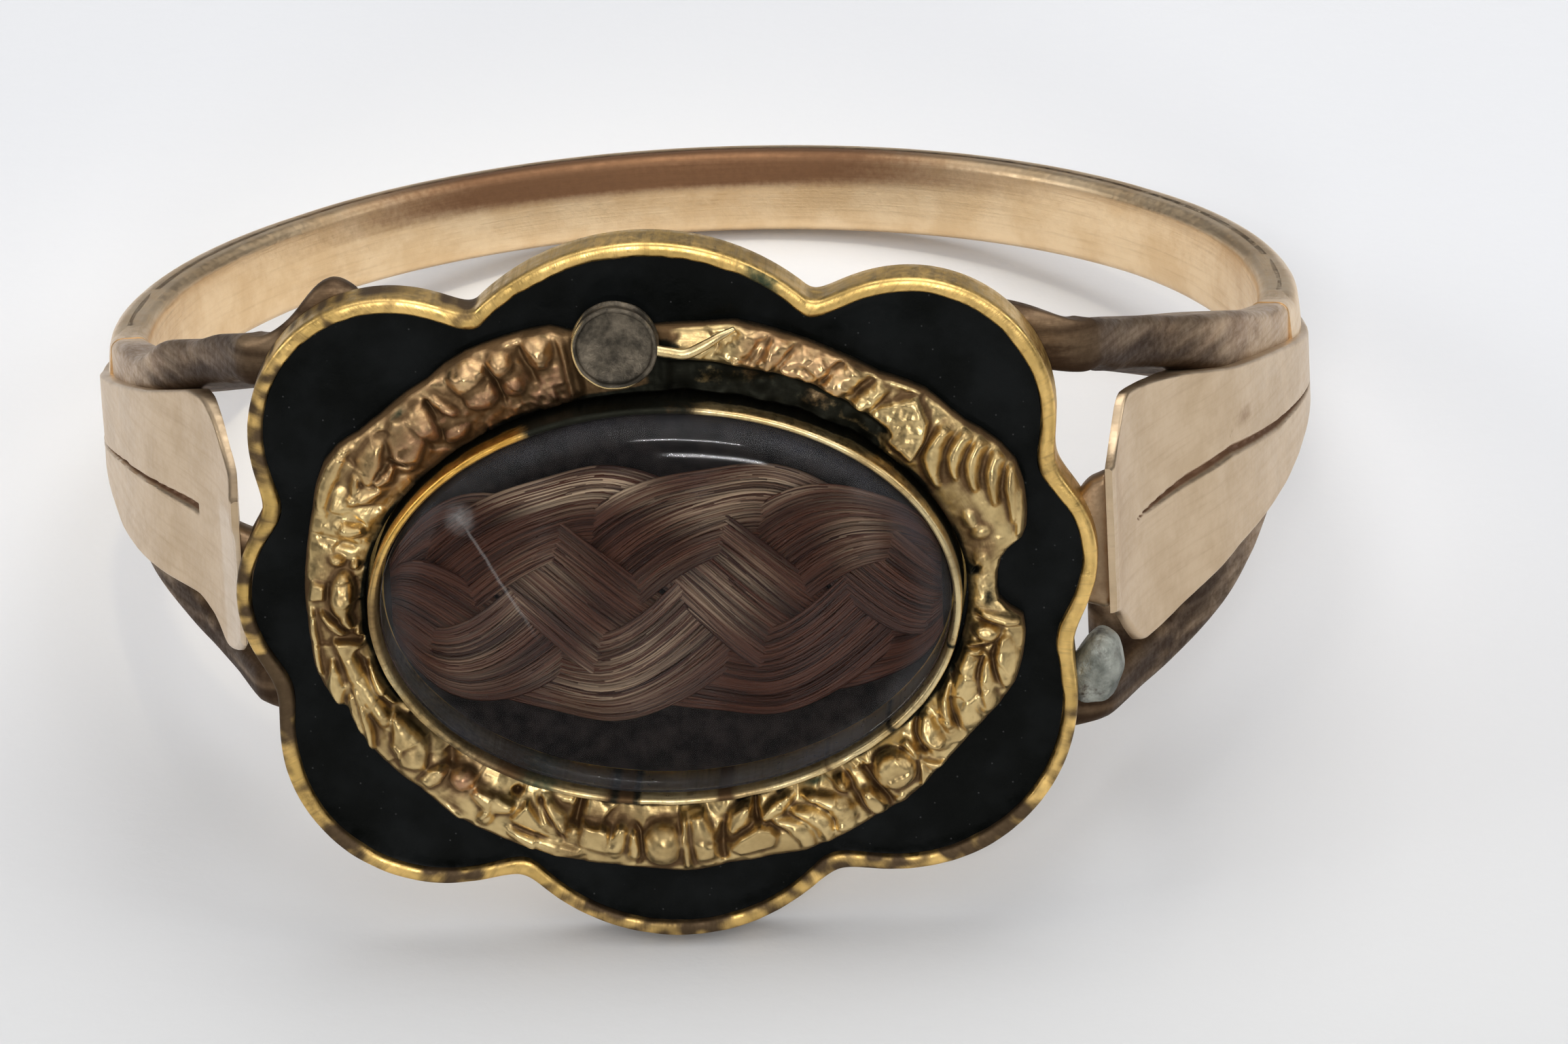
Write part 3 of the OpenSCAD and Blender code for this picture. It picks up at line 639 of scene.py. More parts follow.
def collet_ring():
    """The oval wall round the window, with its burnished lip."""
    around = 720
    t = round_angles(around)
    ring = together(4.4 * np.cos(t), 3.1 * np.sin(t))
    uneven = waves(ring, 1.3, 31) * 0.5 + waves(ring, 0.35, 32) * 0.3
    share, n = np.array(COLLET_SECTION).T[..., None]
    wall = COLLET_T * share * (1 - 0.1 * (1 + uneven) * (share > 0.2))
    sunk = 0.02 * rise(n, 10.8, 0.2) * (1 + uneven)
    points = window_ring(COLLET_A - COLLET_T + wall, COLLET_B - COLLET_T + wall, t, n - sunk)
    clock = clock_of(t)
    foot = (share == 1) * np.maximum(0, 1 - (n - COLLET_FOOT) / 0.7)
    dark = straight(COLLET_TARNISH, clock, 1) + 0.35 * waves(ring, 0.6, 33)
    dark = dark + sum(spot((clock, at, reach)) for at, reach in COLLET_STAINS)
    at, reach, soft = COLLET_TOP_DARK
    soot_and_shade = 0.74 * rise(np.abs(signed(clock - at)) - 5 * uneven, reach, -soft)
    at, reach, soft = COLLET_LEFT_DARK
    soot_and_shade = soot_and_shade + 0.42 * rise(np.abs(clock - at), reach, -soft)
    soot_and_shade = soot_and_shade + 0.7 * sum(spot((clock, at, reach)) for at, reach in COLLET_SOOT) * (0.85 + 0.3 * uneven)
    # painted shade on the outer wall below the border's top, in the channel between the border and the collet
    outside = (share > 0.98) * rise(n, 10.9, -0.3) * (0.75 + 0.15 * uneven)
    marks = {
        "run": together(np.arange(len(n))[:, None] * 0.2, t * 4, 0),
        "dirt_and_shade": foot * 0.6 + 0.55 * dark,
        "green": 0.75 * spot((clock, *COLLET_GREEN)),
        "soot_and_shade": np.maximum(outside, soot_and_shade),
        # the amber stretch is a painted reflection
        "second": between(clock, *COLLET_AMBER_REFLECTION),
    }
    piece("collet", points, ring_faces(len(n), around), collet_gold, marks=marks, sharp=60)


# The hoop and the shoulders

# Plans of a shoulder's skin and of the inner sides of a leaf and of a strap: across and forward
SKIN_PLAN = table(2, """
9.34 -1.6   9.55 0.6   9.06 3.4   8.2 6   7.52 7.3   6.98 8.5   6.74 9.3   6.66 10.12
""")
LEAF_INNER = table(2, """
7.5 4.3   7.5 5   7.4 6   7.22 7   6.96 8   6.72 8.8   6.58 9.3   6.5 10.12
""")
STRAP_INNER = table(2, """
5.75 6.5   6.25 7   6.4 7.8   6.1 8.8   5.9 9.62
""")
STRAP_SINK = 0.2
# Radii of the hoop's, the straps' and the leaves' edges
HOOP_EDGE_R, STRAP_EDGE_R, LEAF_EDGE_R = 0.16, 0.19, 0.07
# Forward of the straps' hidden start and of their turn, and the step between sections
STRAP_START, STRAP_TURN, STRAP_STEP = -2.2, 8.75, 0.12
# Forward where the straps part, and the length of the soft start
FORK_AT, FORK_SOFT = 3.9, 0.5
# Sides of the hoop, of the straps, of the forks between them, of the leaves and of the grooves on the leaves:
# forward, top and bottom. 1 is the right shoulder and -1 the left one.
HOOP_SIDE = table(3, """
-12 0.675 -0.675   -6 0.695 -0.695   -2 0.8 -0.8   0.6 0.92 -0.92   3 1.55 -1.6
""")
STRAPS = {
    1: table(3, """
-6 0.695 -0.695   -2 0.8 -0.8   0.6 0.92 -0.92   3 1.5 -1.62   4.5 2.02 -2.2
6.2 2.5 -2.62   7.3 2.9 -2.8   8.7 3.28 -2.84   9.62 3.56 -2.84
"""),
    -1: table(3, """
-6 0.695 -0.695   -2 0.8 -0.8   0.6 0.92 -0.92   3.2 1.56 -1.5   4.5 1.86 -1.66
5.6 2.34 -1.76   6.7 2.84 -1.98   7.1 2.86 -2.06   8 3.26 -2.14   9.62 3.72 -2.2
"""),
}
FORKS = {
    1: table(3, """
4.4 0.8 -0.8   5.2 1.2 -1.2   6.3 1.72 -1.7   7.3 2.06 -2   9.5 2.74 -2.3   12 3.2 -2.5
"""),
    -1: table(3, """
4.4 1.16 -0.6   5.2 1.44 -0.9   6.4 1.9 -1.2   7.4 2.3 -1.5   9.5 3 -1.66   12 3.4 -1.8
"""),
}
LEAVES = {
    1: table(3, """
-1.6 0.1 -0.3   0.6 0.34 -0.86   3 0.88 -1.36   5.4 1.4 -1.5   6.8 1.8 -1.74   7.9 2.04 -1.9
8.5 2.14 -1.92   8.9 2.18 -1.6   9.3 1.72 -1.22   9.7 1.5 -1   10.12 1.4 -0.86
"""),
    -1: table(3, """
-1.6 0.1 -0.3   0.6 0.34 -0.86   3.4 1.04 -1.36   5.8 1.7 -1.2   7.4 2.22 -1.1   8 2.28 -1.26
8.5 2.06 -1.56   8.9 1.76 -1.5   9.3 1.56 -1.24   10.12 1.3 -0.96
"""),
}
GROOVES = {
    1: table(3, """
0.3 -0.48 -0.52   3.4 -0.16 -0.3   5.6 0.2 0.04   7 0.22 0.06   8.6 0.1 0.06
"""),
    -1: table(3, """
0.3 -0.78 -0.84   4.2 0.06 -0.08   5.9 0.32 0.16   7 0.44 0.2   7.6 0.5 0.22
"""),
}
# The straps' turned-in ends under the head: across, top and bottom, for the upper and the lower strap
STRAP_ENDS = {
    1: (table(3, """
4.42 3.64 3.58   4.6 3.9 3.4   5 3.9 3.1   5.6 3.74 2.8   6.38 3.5 2.7
"""), table(3, """
4.6 -2.4 -3   5.6 -2.1 -2.96   6.38 -2.2 -2.84
""")),
    -1: (table(3, """
4.32 4 3.88   4.5 4.3 3.74   4.75 4.52 3.5   5 4.6 3.3   5.2 4.52 3.2
5.4 4.26 3.05   5.62 4 3   5.9 3.74 2.95   6.38 3.66 2.9
"""), table(3, """
4.6 -1.9 -2.5   5.6 -1.5 -2.4   6.38 -1.6 -2.2
""")),
}
# How a strap turns in under the head: across and forward of its outer and its inner side
TURN_IN = table(4, """
6.6 9.15 6.05 8.92   6.45 9.42 5.92 9.04   6.2 9.58 5.75 9.1   5.6 9.62 5.5 9.12
5.2 9.62 5.15 9.12   4.8 9.62 4.78 9.13   4.55 9.62 4.55 9.16   4.44 9.62 4.44 9.24
""")
# Waves in the upper edge of the upper left strap: forward, reach and height
STRAP_HUMPS = (3.9, 0.7, -0.1), (5.9, 0.45, 0.09), (6.6, 0.25, -0.1), (7.8, 0.6, 0.06)
LEAF_START, LEAF_END = -1.6, 10.12
# The left leaf's facet: forward where it starts, and the height below which it lies
FACET_AT, FACET_BELOW = 8.5, 0.95
# A dark stain on the right leaf: forward and height, each with its reach
LEAF_STAIN = (5.1, 0.5), (0.52, 0.26)
# Outlines of the plates beside the head and of the lump of solder: across and up
WEB_RIGHT = table(2, "5.9 -0.7   5.9 0.7   6.24 1.16   6.58 1.3   6.6 -0.9")
WEB_LEFT = table(2, "6.1 -1   6.1 0.7   6.36 0.78   6.6 0.9   6.6 -1")
WEB_FRONT = 10
# Layers of such a plate: height from its front, and size
WEB_SECTION = (-0.4, 0.86), (-0.37, 0.94), (-0.3, 1), (-0.1, 1), (-0.03, 0.94), (0, 0.86)
SOLDER_OUTLINE = table(2, """
5.86 -1.78   6.03 -1.5   6.28 -1.24   6.42 -1.2   6.56 -1.34
6.64 -1.62   6.58 -2.05   6.4 -2.36   6.1 -2.42   5.9 -2.3
""")
SOLDER_FORWARD = 9.72


def skin_x(forward, sink=0.0):
    """How far out a shoulder's skin lies, drawn in towards the axis by sink."""
    shrunk = SKIN_PLAN * (1 - sink / np.linalg.norm(SKIN_PLAN, axis=1))[:, None]
    return curve(shrunk[:, 1], shrunk[:, 0], forward)


def bore_x(forward):
    return np.sqrt(np.maximum(BORE_R**2 - forward**2, 0))


def band():
    """The hoop's back, with soft edges and slightly crowned faces."""
    middle_r = (BORE_R + HOOP_R) / 2
    reach = math.degrees(math.acos(-1.5 / middle_r))
    angle = np.radians(np.linspace(-reach, reach, 280))
    forward = -np.cos(angle) * middle_r
    top, bottom = straight(HOOP_SIDE, forward, 1), straight(HOOP_SIDE, forward, 2)
    loop = rounded_loop(bottom, top, BORE_R, HOOP_R, HOOP_EDGE_R, HOOP_EDGE_R)
    w, r = loop[..., 0], loop[..., 1]
    from_middle = (w - (top + bottom)[:, None] / 2) / ((top - bottom)[:, None] / 2)
    r = r + np.where(r > middle_r, -0.07, 0.05) * np.abs(from_middle) ** 2.2
    angle = angle[:, None]
    r = np.clip(r + 0.006 * waves(together(angle * 9, w), 2.5, 41), BORE_R, HOOP_R)
    points = together(r * np.sin(angle), r * np.cos(angle), w)
    # the brown stripe along the inner face at the back
    stripe = spot((np.degrees(angle), -8, 42)) * rise(w, -0.15, 0.5) * (r < middle_r)
    marks = {"run": together(angle * 9, w, 0), "dirt_and_shade": 0.95 * stripe}
    piece("band", points, loft_faces(*points.shape[:2]), band_gold, ["ring_frame"], marks, sharp=60)


def strap(name, side, upper, seed):
    """A strap: it parts from the hoop, runs to the head and turns in under it."""
    column = 1 if upper else 2
    forward = np.arange(STRAP_START, STRAP_TURN, STRAP_STEP)
    outline = straight(STRAPS[side], forward, column)
    if side < 0 and upper:
        outline = outline + sum(lift * spot((forward, at, reach)) for at, reach, lift in STRAP_HUMPS)
    opening = rise(forward, FORK_AT, FORK_SOFT)
    split = 0.1 + (straight(FORKS[side], forward, column) - 0.1) * opening
    freed = np.interp(forward, STRAP_INNER[:, 1], STRAP_INNER[:, 0]) * (forward > STRAP_INNER[0, 1])
    inner = np.maximum(bore_x(forward) + 0.01, freed)
    legs = together(skin_x(forward, STRAP_SINK), forward, inner, forward)
    fine = np.linspace(0, len(TURN_IN) - 1, 45)
    turn = together(*(np.interp(fine, np.arange(len(TURN_IN)), x) for x in TURN_IN.T))
    ends = STRAP_ENDS[side][0 if upper else 1]
    legs = eased(np.concatenate([legs, turn]), 4)
    outline = eased(np.concatenate([outline, straight(ends, turn[:, 0], column)]), 4)
    split = eased(np.concatenate([split, straight(ends, turn[:, 0], 3 - column)]), 2)
    opening = np.concatenate([opening, np.ones(len(turn))])
    depth = np.hypot(legs[:, 0] - legs[:, 2], legs[:, 1] - legs[:, 3])
    split_r = 0.002 + STRAP_EDGE_R * opening
    if upper:
        low, high, low_r, high_r = split, outline, split_r, STRAP_EDGE_R
    else:
        low, high, low_r, high_r = outline, split, STRAP_EDGE_R, split_r
    loop = rounded_loop(low, high, 0, depth, low_r, high_r)
    w, out = loop[..., 0], loop[..., 1]
    steps = np.diff((legs[:, :2] + legs[:, 2:]) / 2, axis=0)
    along = np.concatenate([[0], np.cumsum(np.hypot(*steps.T))])[:, None]
    flat = together(along, w * 1.5, out)
    share = out / depth[:, None]
    worn = 0.014 * (1 + waves(flat * [0.5, 2, 1], 1.1, seed)) * opening[:, None]
    share = (share * (1 - worn / depth[:, None] * (share > 0.5)))[..., None]
    place = legs[:, None, 2:] * (1 - share) + legs[:, None, :2] * share
    points = together(side * place[..., 0], -place[..., 1], w)
    streak = 0.5 + 0.5 * waves(flat * [0.1, 1, 1], 0.25, seed + 10)
    under = rise(w - (low + high)[:, None] / 2, 0.1, -0.5) if upper else 0.4
    dirt_and_shade = rise(along, 3 if upper else 2, 8) * (0.6 + 0.45 * under + 0.3 * streak)
    marks = {"run": flat, "dirt_and_shade": dirt_and_shade, "second": rise(along, 5.5, -4)}
    piece(name, points, loft_faces(*points.shape[:2]), strap_gold, marks=marks, sharp=60)


def leaf_plate(name, side):
    """The broad plate between two straps, with its engraved groove."""
    stations, across = 230, 131
    forward = np.linspace(LEAF_START, LEAF_END, stations)[:, None]
    edges = eased(np.concatenate([straight(LEAVES[side], forward, k) for k in (1, 2)], 1), 3)
    top, bottom = edges[:, :1], edges[:, 1:]
    t = (1 - np.cos(np.linspace(0, math.pi, across))) / 2
    t = 0.5 * t + 0.5 * np.linspace(0, 1, across)
    w = bottom + (top - bottom) * t
    from_edge = np.minimum(np.minimum(w - bottom, top - w), LEAF_EDGE_R)
    drop = LEAF_EDGE_R - np.sqrt(np.maximum(LEAF_EDGE_R**2 - (LEAF_EDGE_R - from_edge) ** 2, 0))
    groove = GROOVES[side]
    groove_top, groove_low = straight(groove, forward, 1), straight(groove, forward, 2)
    half = np.maximum((groove_top - groove_low) / 2, 0.02)
    inside = (forward > groove[0, 0]) & (forward < groove[-1, 0])
    depth = np.where(inside, np.minimum(0.11, half * 1.6 + 0.02), 0)
    wide = half * (1.25 if side > 0 else 0.7)
    aside = np.abs(w - (groove_top + groove_low) / 2)
    cut = np.clip(1 - aside / wide, 0, 1)
    burr = 0.012 * spot((aside, wide * 1.25, 0.03)) * (depth > 0)
    skin = skin_x(forward)
    flat = together(forward, w)
    x = skin - drop - depth * cut**0.8 + burr
    x = x + 0.008 * waves(flat, 1.8, 51 + side) + 0.002 * waves(flat, 0.3, 53 + side)
    # the low fore part of the left leaf is filed to a facet of its own
    facet = rise(forward, FACET_AT, 0.12) * rise(w, FACET_BELOW, -0.3) * (side < 0)
    x = np.minimum(x - 0.035 * facet * rise(forward, FACET_AT, 0.5), skin)
    inner = np.where(forward < 4.3, skin - 0.3, np.interp(forward, LEAF_INNER[:, 1], LEAF_INNER[:, 0]))
    inner = np.maximum(inner, bore_x(forward) + 0.05)
    inner = np.minimum(eased(inner, 6), x.min(1, keepdims=True) - 0.05)
    w_inner = top + (bottom - top) * np.linspace(0, 1, 6)
    w_all = np.concatenate([w, w_inner], 1)
    x_all = np.concatenate([x - 0.04 * rise(forward, 9.9, 0.22) ** 2, inner + 0 * w_inner], 1)
    points = together(side * x_all, -forward, w_all)
    dirt_and_shade = np.concatenate([1.3 * cut * (depth > 0.02), np.full_like(w_inner, 0.35)], 1)
    stain = spot((forward, *LEAF_STAIN[0]), (w_all, *LEAF_STAIN[1])) * (side > 0)
    marks = {
        "run": together(forward, w_all, 0),
        "dirt_and_shade": dirt_and_shade + 0.46 * stain,
        "second": np.concatenate([0.42 * facet, 0 * w_inner], 1),
    }
    piece(name, points, loft_faces(*points.shape[:2]), leaf_gold, marks=marks, sharp=55)


def web(name, side, outline):
    """The small plate that joins a leaf to the side of the head, with soft edges. It is darkened as painted
    shade for the gap there.
    """
    corners = zip(outline, np.roll(outline, -1, axis=0))
    fine = eased(np.concatenate([np.linspace(a, b, 12, endpoint=False) for a, b in corners]), 3, closed=True)
    rows = []
    for n, size in WEB_SECTION:
        across, up = (fine.mean(0) + (fine - fine.mean(0)) * size).T
        rows.append(together(side * across, -(WEB_FRONT + n), up))
    points = np.array(rows)
    # the dirt mark darkens the plate as painted shade for the gap beside the head
    marks = {"run": together(points[..., 2], points[..., 1], 0), "dirt_and_shade": 0.5}
    piece(name, points, loft_faces(len(rows), len(fine)), strap_gold, marks=marks, sharp=70)


def solder_blob():
    """The lump of solder at the lower right shoulder."""
    around, layers = 72, 26
    t = round_angles(around)
    middle = SOLDER_OUTLINE.mean(0)
    ring = SOLDER_OUTLINE - middle
    bearing = np.arctan2(ring[:, 1], ring[:, 0]) % (2 * math.pi)
    order = np.argsort(bearing)
    reach = np.interp(t, bearing[order], np.hypot(*ring.T)[order], period=2 * math.pi)
    reach = eased(reach, 3, closed=True)
    lift = (math.pi * (np.arange(layers) + 0.5) / layers)[:, None]
    size = np.sin(lift) ** 0.55
    n = SOLDER_FORWARD - 0.42 * np.cos(lift)
    points = together(middle[0] + reach * size * np.cos(t), -n, middle[1] + reach * size * np.sin(t))
    push = 0.05 * waves(points, 0.5, 71) + 0.03 * waves(points, 0.22, 72)
    away = points - [middle[0], -SOLDER_FORWARD, middle[1]]
    points = points + away * (0.03 - np.abs(push))[..., None]
    piece("solder_lump", points, loft_faces(layers, around), solder_paint(), sharp=80)


# The chased border. A place on it is a clock angle and a share of the way from its inner to its outer line.

# Outer edge: clock angle and share
EDGE = table(2, """
0 0.9   8 0.95   13 1.03   20 1   30 0.96   38 0.96   42 1.04   46 1.12   52 1.12
55 1.15   58 1.24   62 1.34   66 1.39   70 1.33   75 1.2   78 1.1   80 0.98   81.5 0.74
83.5 0.58   86.5 0.49   90 0.46   93 0.5   95 0.66   96.5 0.9   100 0.98   105 1.03   110 1.05
115 1   118 0.95   122 0.9   128 0.9   133 0.91   137 0.97   141 1   145 0.97   150 1
155 1.03   160 1.04   165 1   172 1   178 1.05   183 1.03   190 1   200 1.02   210 1
218 1   222 0.95   226 0.91   232 0.93   238 0.93   243 0.88   247 0.83   249 0.94   253 1
258 1   263 0.95   268 0.95   275 0.98   280 1   285 1.05   290 1.12   295 1.24   299 1.3
303 1.27   307 1.15   312 1.1   318 1.1   322 1.08   326 1.14   330 1.16   335 1.14   340 1.12
344 1.08   347 0.95   360 0.9
""")
MM_PER_DEGREE = 0.078
MM_PER_SHARE = 1.03
# Chased blades: the places of the start, middle and end of a blade's line, half its width there in
# millimetres, its height, and how far its crest leans to one side
BLADES = table(11, """
12.5 0.5 14 0.72 15.8 0.95 0.13 0.15 0.1 0.17 0
18.3 0.5 19.8 0.72 21.5 0.95 0.11 0.13 0.09 0.22 0
22.8 0.48 24.4 0.68 26 0.88 0.11 0.13 0.1 0.24 0
26 0.5 27.4 0.66 29 0.82 0.1 0.13 0.1 0.24 0
31.2 0.42 33 0.68 34.6 0.92 0.11 0.15 0.11 0.28 0
37 0.28 38.3 0.58 39.6 0.88 0.09 0.11 0.08 0.28 0
12 0.98 21 1 30 0.95 0.03 0.035 0.03 0.13 0
30 0.95 38 0.95 46 1.1 0.03 0.035 0.03 0.15 0
53.4 0.92 55.6 0.45 61.7 0.22 0.08 0.13 0.04 0.3 0.3
56.8 1.12 58.3 0.72 62.5 0.5 0.08 0.1 0.03 0.26 0.3
59.3 1.2 61.7 0.85 66.5 0.66 0.07 0.09 0.04 0.3 0.4
63 1.3 65.6 1.02 71 0.82 0.08 0.1 0.04 0.26 0.3
66.2 1.37 69.3 1.17 76 0.97 0.07 0.09 0.04 0.32 0.4
70.5 1.3 74 1.14 79 0.95 0.05 0.07 0.03 0.2 0.3
97.2 0.88 96.9 0.55 95.8 0.2 0.06 0.08 0.06 0.22 0
99.3 0.52 102.4 0.4 105.2 0.12 0.05 0.06 0.04 0.26 0.4
100.5 0.66 105.5 0.78 111.5 0.97 0.06 0.17 0.12 0.26 0.5
106.3 0.5 112 0.64 117 0.93 0.05 0.15 0.1 0.28 0.5
104 0.22 114 0.38 121.5 0.82 0.1 0.2 0.12 0.26 0.5
114 0.14 119.6 0.27 124.2 0.58 0.04 0.11 0.07 0.26 0.4
124.8 0.15 127.8 0.36 127.7 0.66 0.07 0.14 0.08 0.28 0.4
152.4 0.94 150.9 0.56 156 0.22 0.09 0.13 0.04 0.28 -0.3
155.5 0.95 155.3 0.6 159.2 0.36 0.08 0.12 0.04 0.28 -0.3
158.9 0.96 158.9 0.66 162.8 0.42 0.08 0.12 0.04 0.28 -0.3
158.4 0.17 161.8 0.28 164.8 0.38 0.05 0.1 0.05 0.27 0.3
166.4 0.13 168.7 0.3 170.8 0.47 0.06 0.12 0.06 0.3 0.3
175.5 0.85 175.9 0.5 176.5 0.18 0.1 0.14 0.09 0.26 0
178.6 0.95 178.7 0.6 178.7 0.2 0.04 0.05 0.04 0.27 0
187.3 0.84 187.4 0.62 187.8 0.42 0.07 0.07 0.05 0.24 0
190.7 0.76 190.4 0.55 189.6 0.36 0.08 0.1 0.07 0.25 0
199.7 0.58 202 0.42 204.6 0.22 0.06 0.13 0.08 0.2 0
196 0.82 202 0.88 209 0.8 0.05 0.1 0.05 0.18 0
209.8 0.46 213.5 0.5 218 0.44 0.06 0.13 0.07 0.22 0
226.3 0.76 225.9 0.58 225.2 0.4 0.08 0.11 0.07 0.27 0
230 0.68 234.5 0.38 241.5 0.24 0.14 0.22 0.06 0.3 -0.2
240 0.42 250 0.38 261 0.42 0.1 0.13 0.1 0.26 0
237.8 0.92 243.5 0.64 252 0.5 0.05 0.07 0.03 0.3 -0.4
241.2 0.88 245.2 0.76 250 0.62 0.04 0.09 0.03 0.2 -0.4
248.6 0.92 252.8 0.79 258.4 0.66 0.06 0.11 0.03 0.25 -0.4
255.5 0.96 263 0.9 270 0.86 0.04 0.07 0.03 0.2 0
243 0.09 249 0.13 255.8 0.1 0.03 0.1 0.04 0.32 0
264.3 0.36 266.4 0.52 269.6 0.69 0.04 0.08 0.03 0.34 0.3
265.4 0.2 267.8 0.3 270.6 0.3 0.05 0.09 0.05 0.32 0
289.3 0.62 289.4 0.45 290.6 0.26 0.09 0.1 0.07 0.25 0
294.9 0.68 298 0.52 301.2 0.35 0.05 0.13 0.06 0.25 0.3
296.4 0.62 298.5 0.71 300.7 0.8 0.04 0.06 0.03 0.2 0
301.4 0.49 304 0.42 307.2 0.48 0.04 0.08 0.03 0.26 0
291 1 298 1.17 304 1.18 0.08 0.14 0.08 0.2 0
300.2 0.56 304 0.76 309 0.88 0.06 0.16 0.08 0.22 0.4
309.4 0.36 312.8 0.62 315.2 0.9 0.15 0.23 0.14 0.32 0.2
321 0.87 322 0.7 323.5 0.5 0.06 0.07 0.05 0.2 0
345.3 0.92 345.3 0.5 344.6 0.05 0.04 0.05 0.04 0.2 0
346.9 0.96 346.7 0.5 346.4 0.1 0.05 0.05 0.04 0.3 0
""")
# Bosses: place, half sizes in degrees and in share, height, and how flat the top is
BOSSES = table(6, """
53.2 0.86 1.3 0.1 0.26 1   75.6 0.4 1.7 0.16 0.12 1   72 0.32 2.4 0.1 0.1 1
100.3 0.35 2 0.2 0.26 2   123.6 0.47 1.1 0.12 0.22 1   138 0.46 3.9 0.28 0.36 3
144.9 0.72 1.7 0.24 0.26 2   148.3 0.26 1.4 0.13 0.26 1   182.7 0.58 3.3 0.31 0.42 1
193.2 0.42 1.2 0.08 0.24 1   213.6 0.74 1.4 0.15 0.22 1   221 0.36 2.5 0.18 0.26 1
264.4 0.1 1.9 0.11 0.28 1   273.8 0.35 5.4 0.19 0.32 2   281.7 0.5 1.3 0.12 0.2 1
281.5 0.2 1.2 0.08 0.18 1   317.3 0.62 2.5 0.3 0.32 1   321 0.25 3.1 0.13 0.22 1
328.4 0.88 3.1 0.24 0.3 1   329.2 0.55 3.1 0.2 0.32 1   334.6 0.86 2 0.18 0.34 1
335.2 0.52 2.1 0.16 0.26 1   341 0.85 2.4 0.24 0.32 1   82.5 0.28 3 0.14 0.06 1
""")
# Flat cuts of the graver: the places of the corners, then the heights at the first, second and third corner
FACETS = [
    (table(2, "39.8 0.2   41 0.6   45.4 1.02   49.8 0.82   51.8 0.58   53.2 0.18"), (0.36, 0.4, 0.5)),
    (table(2, "130 0.9   133.4 0.88   133.2 0.58"), (0.46, 0.34, 0.46)),
    (table(2, "133.5 0.88   137 0.95   133.4 0.58"), (0.34, 0.46, 0.46)),
    (table(2, "132 0.2   132.1 0.45   133.5 0.58   134.1 0.2"), (0.4, 0.46, 0.48)),
    (
        table(2, "162.8 0.66   164 0.82   170 0.84   171.7 0.7   169.3 0.54   165.5 0.42   163.6 0.5"),
        (0.5, 0.42, 0.44),
    ),
    (table(2, "191.8 0.78   197 0.74   197.3 0.37   192 0.42"), (0.46, 0.42, 0.56)),
    (table(2, "201.4 0.71   209.7 0.63   208 0.27"), (0.42, 0.46, 0.52)),
    (table(2, "257.5 0.5   263 0.57   262 0.3   260.5 0.1   259 0.3"), (0.48, 0.56, 0.5)),
    (table(2, "271.8 0.9   276.2 0.86   275.8 0.62   272.4 0.64"), (0.4, 0.44, 0.5)),
]
# Cuts: line as for a blade, half width and depth
CUTS = table(8, """
198.1 0.5 198.1 0.28 198 0.02 0.07 0.2   199.4 0.68 203 0.45 206.2 0.18 0.035 0.18
186.8 0.95 186.2 0.6 187.8 0.3 0.03 0.12   172.4 0.9 172.6 0.7 171.4 0.3 0.06 0.16
165.3 0.4 165.6 0.25 164.6 0.02 0.04 0.18   142.8 0.98 142.8 0.6 143.2 0.1 0.05 0.14
147 0.98 147 0.6 146.8 0.1 0.05 0.12   126.3 0.1 130.2 0.3 131.2 0.62 0.045 0.16
111.6 0.1 118.5 0.26 123.4 0.66 0.03 0.14   106.5 0.43 112 0.5 117.4 0.84 0.025 0.12
103 0.57 107.5 0.62 112.4 0.97 0.025 0.12   103.2 0.46 104.2 0.3 105.6 0.1 0.04 0.14
210.3 0.3 210.3 0.25 210.3 0.2 0.07 0.22   224.6 0.35 225.4 0.2 227.2 0.1 0.12 0.16
285.6 0.9 285.9 0.6 286 0.2 0.08 0.08   307.2 0.6 308 0.45 308.8 0.3 0.03 0.14
319.9 0.9 319.6 0.6 318 0.2 0.03 0.14   332.4 0.9 332.6 0.6 332.4 0.3 0.03 0.14
338.6 0.98 338.8 0.7 339 0.4 0.06 0.12   17.2 0.5 18.2 0.72 19 0.95 0.03 0.1
84.8 0.12 85 0.14 85.3 0.16 0.13 0.12
""")
# Green spots: place, half sizes in degrees and in share, and strength
GREEN_SPOTS = table(5, """
24 0.22 5 0.16 1   5 0.3 4 0.3 0.7   14 0.2 4 0.15 0.8   207 -0.02 8 0.1 0.8
153 0.1 4 0.1 0.8   106 0.02 5 0.08 0.6   315 0.98 3 0.08 0.7
""")
CUP_CLOCK, CUP_SHARE, CUP_BASE = -6, 0.78, 0.25
# Clock angles from and to: the broken patch, and the stretches with a frosted ground
BROKEN = 0.5, 47
FROSTED = (10, 52), (322, 345)
# Clock angles and their soft ends: the ground with a calmer surface, the plain dirty stretch, the cleaner
# one, and the reddish ones
CALM = 36, 92, 4, 6
PLAIN = 56, 84, 6, 5
CLEAN = 94, 168, 6, 15
ROSY_LEFT = 290, 352, 30, 5
ROSY_RIBS = 12, 38, 5, 8
# Spots: middle and half size in degrees, then in share
ROSY_SPOT = (221, 3.5), (0.36, 0.25)
PLAIN_SPOT = (86, 12), (0.3, 0.5)
# a dark hole and a dark tear
DARK_HOLE = (84.8, 2), (0.14, 0.13)
DARK_TEAR = (92, 3.5), (0.34, 0.14)


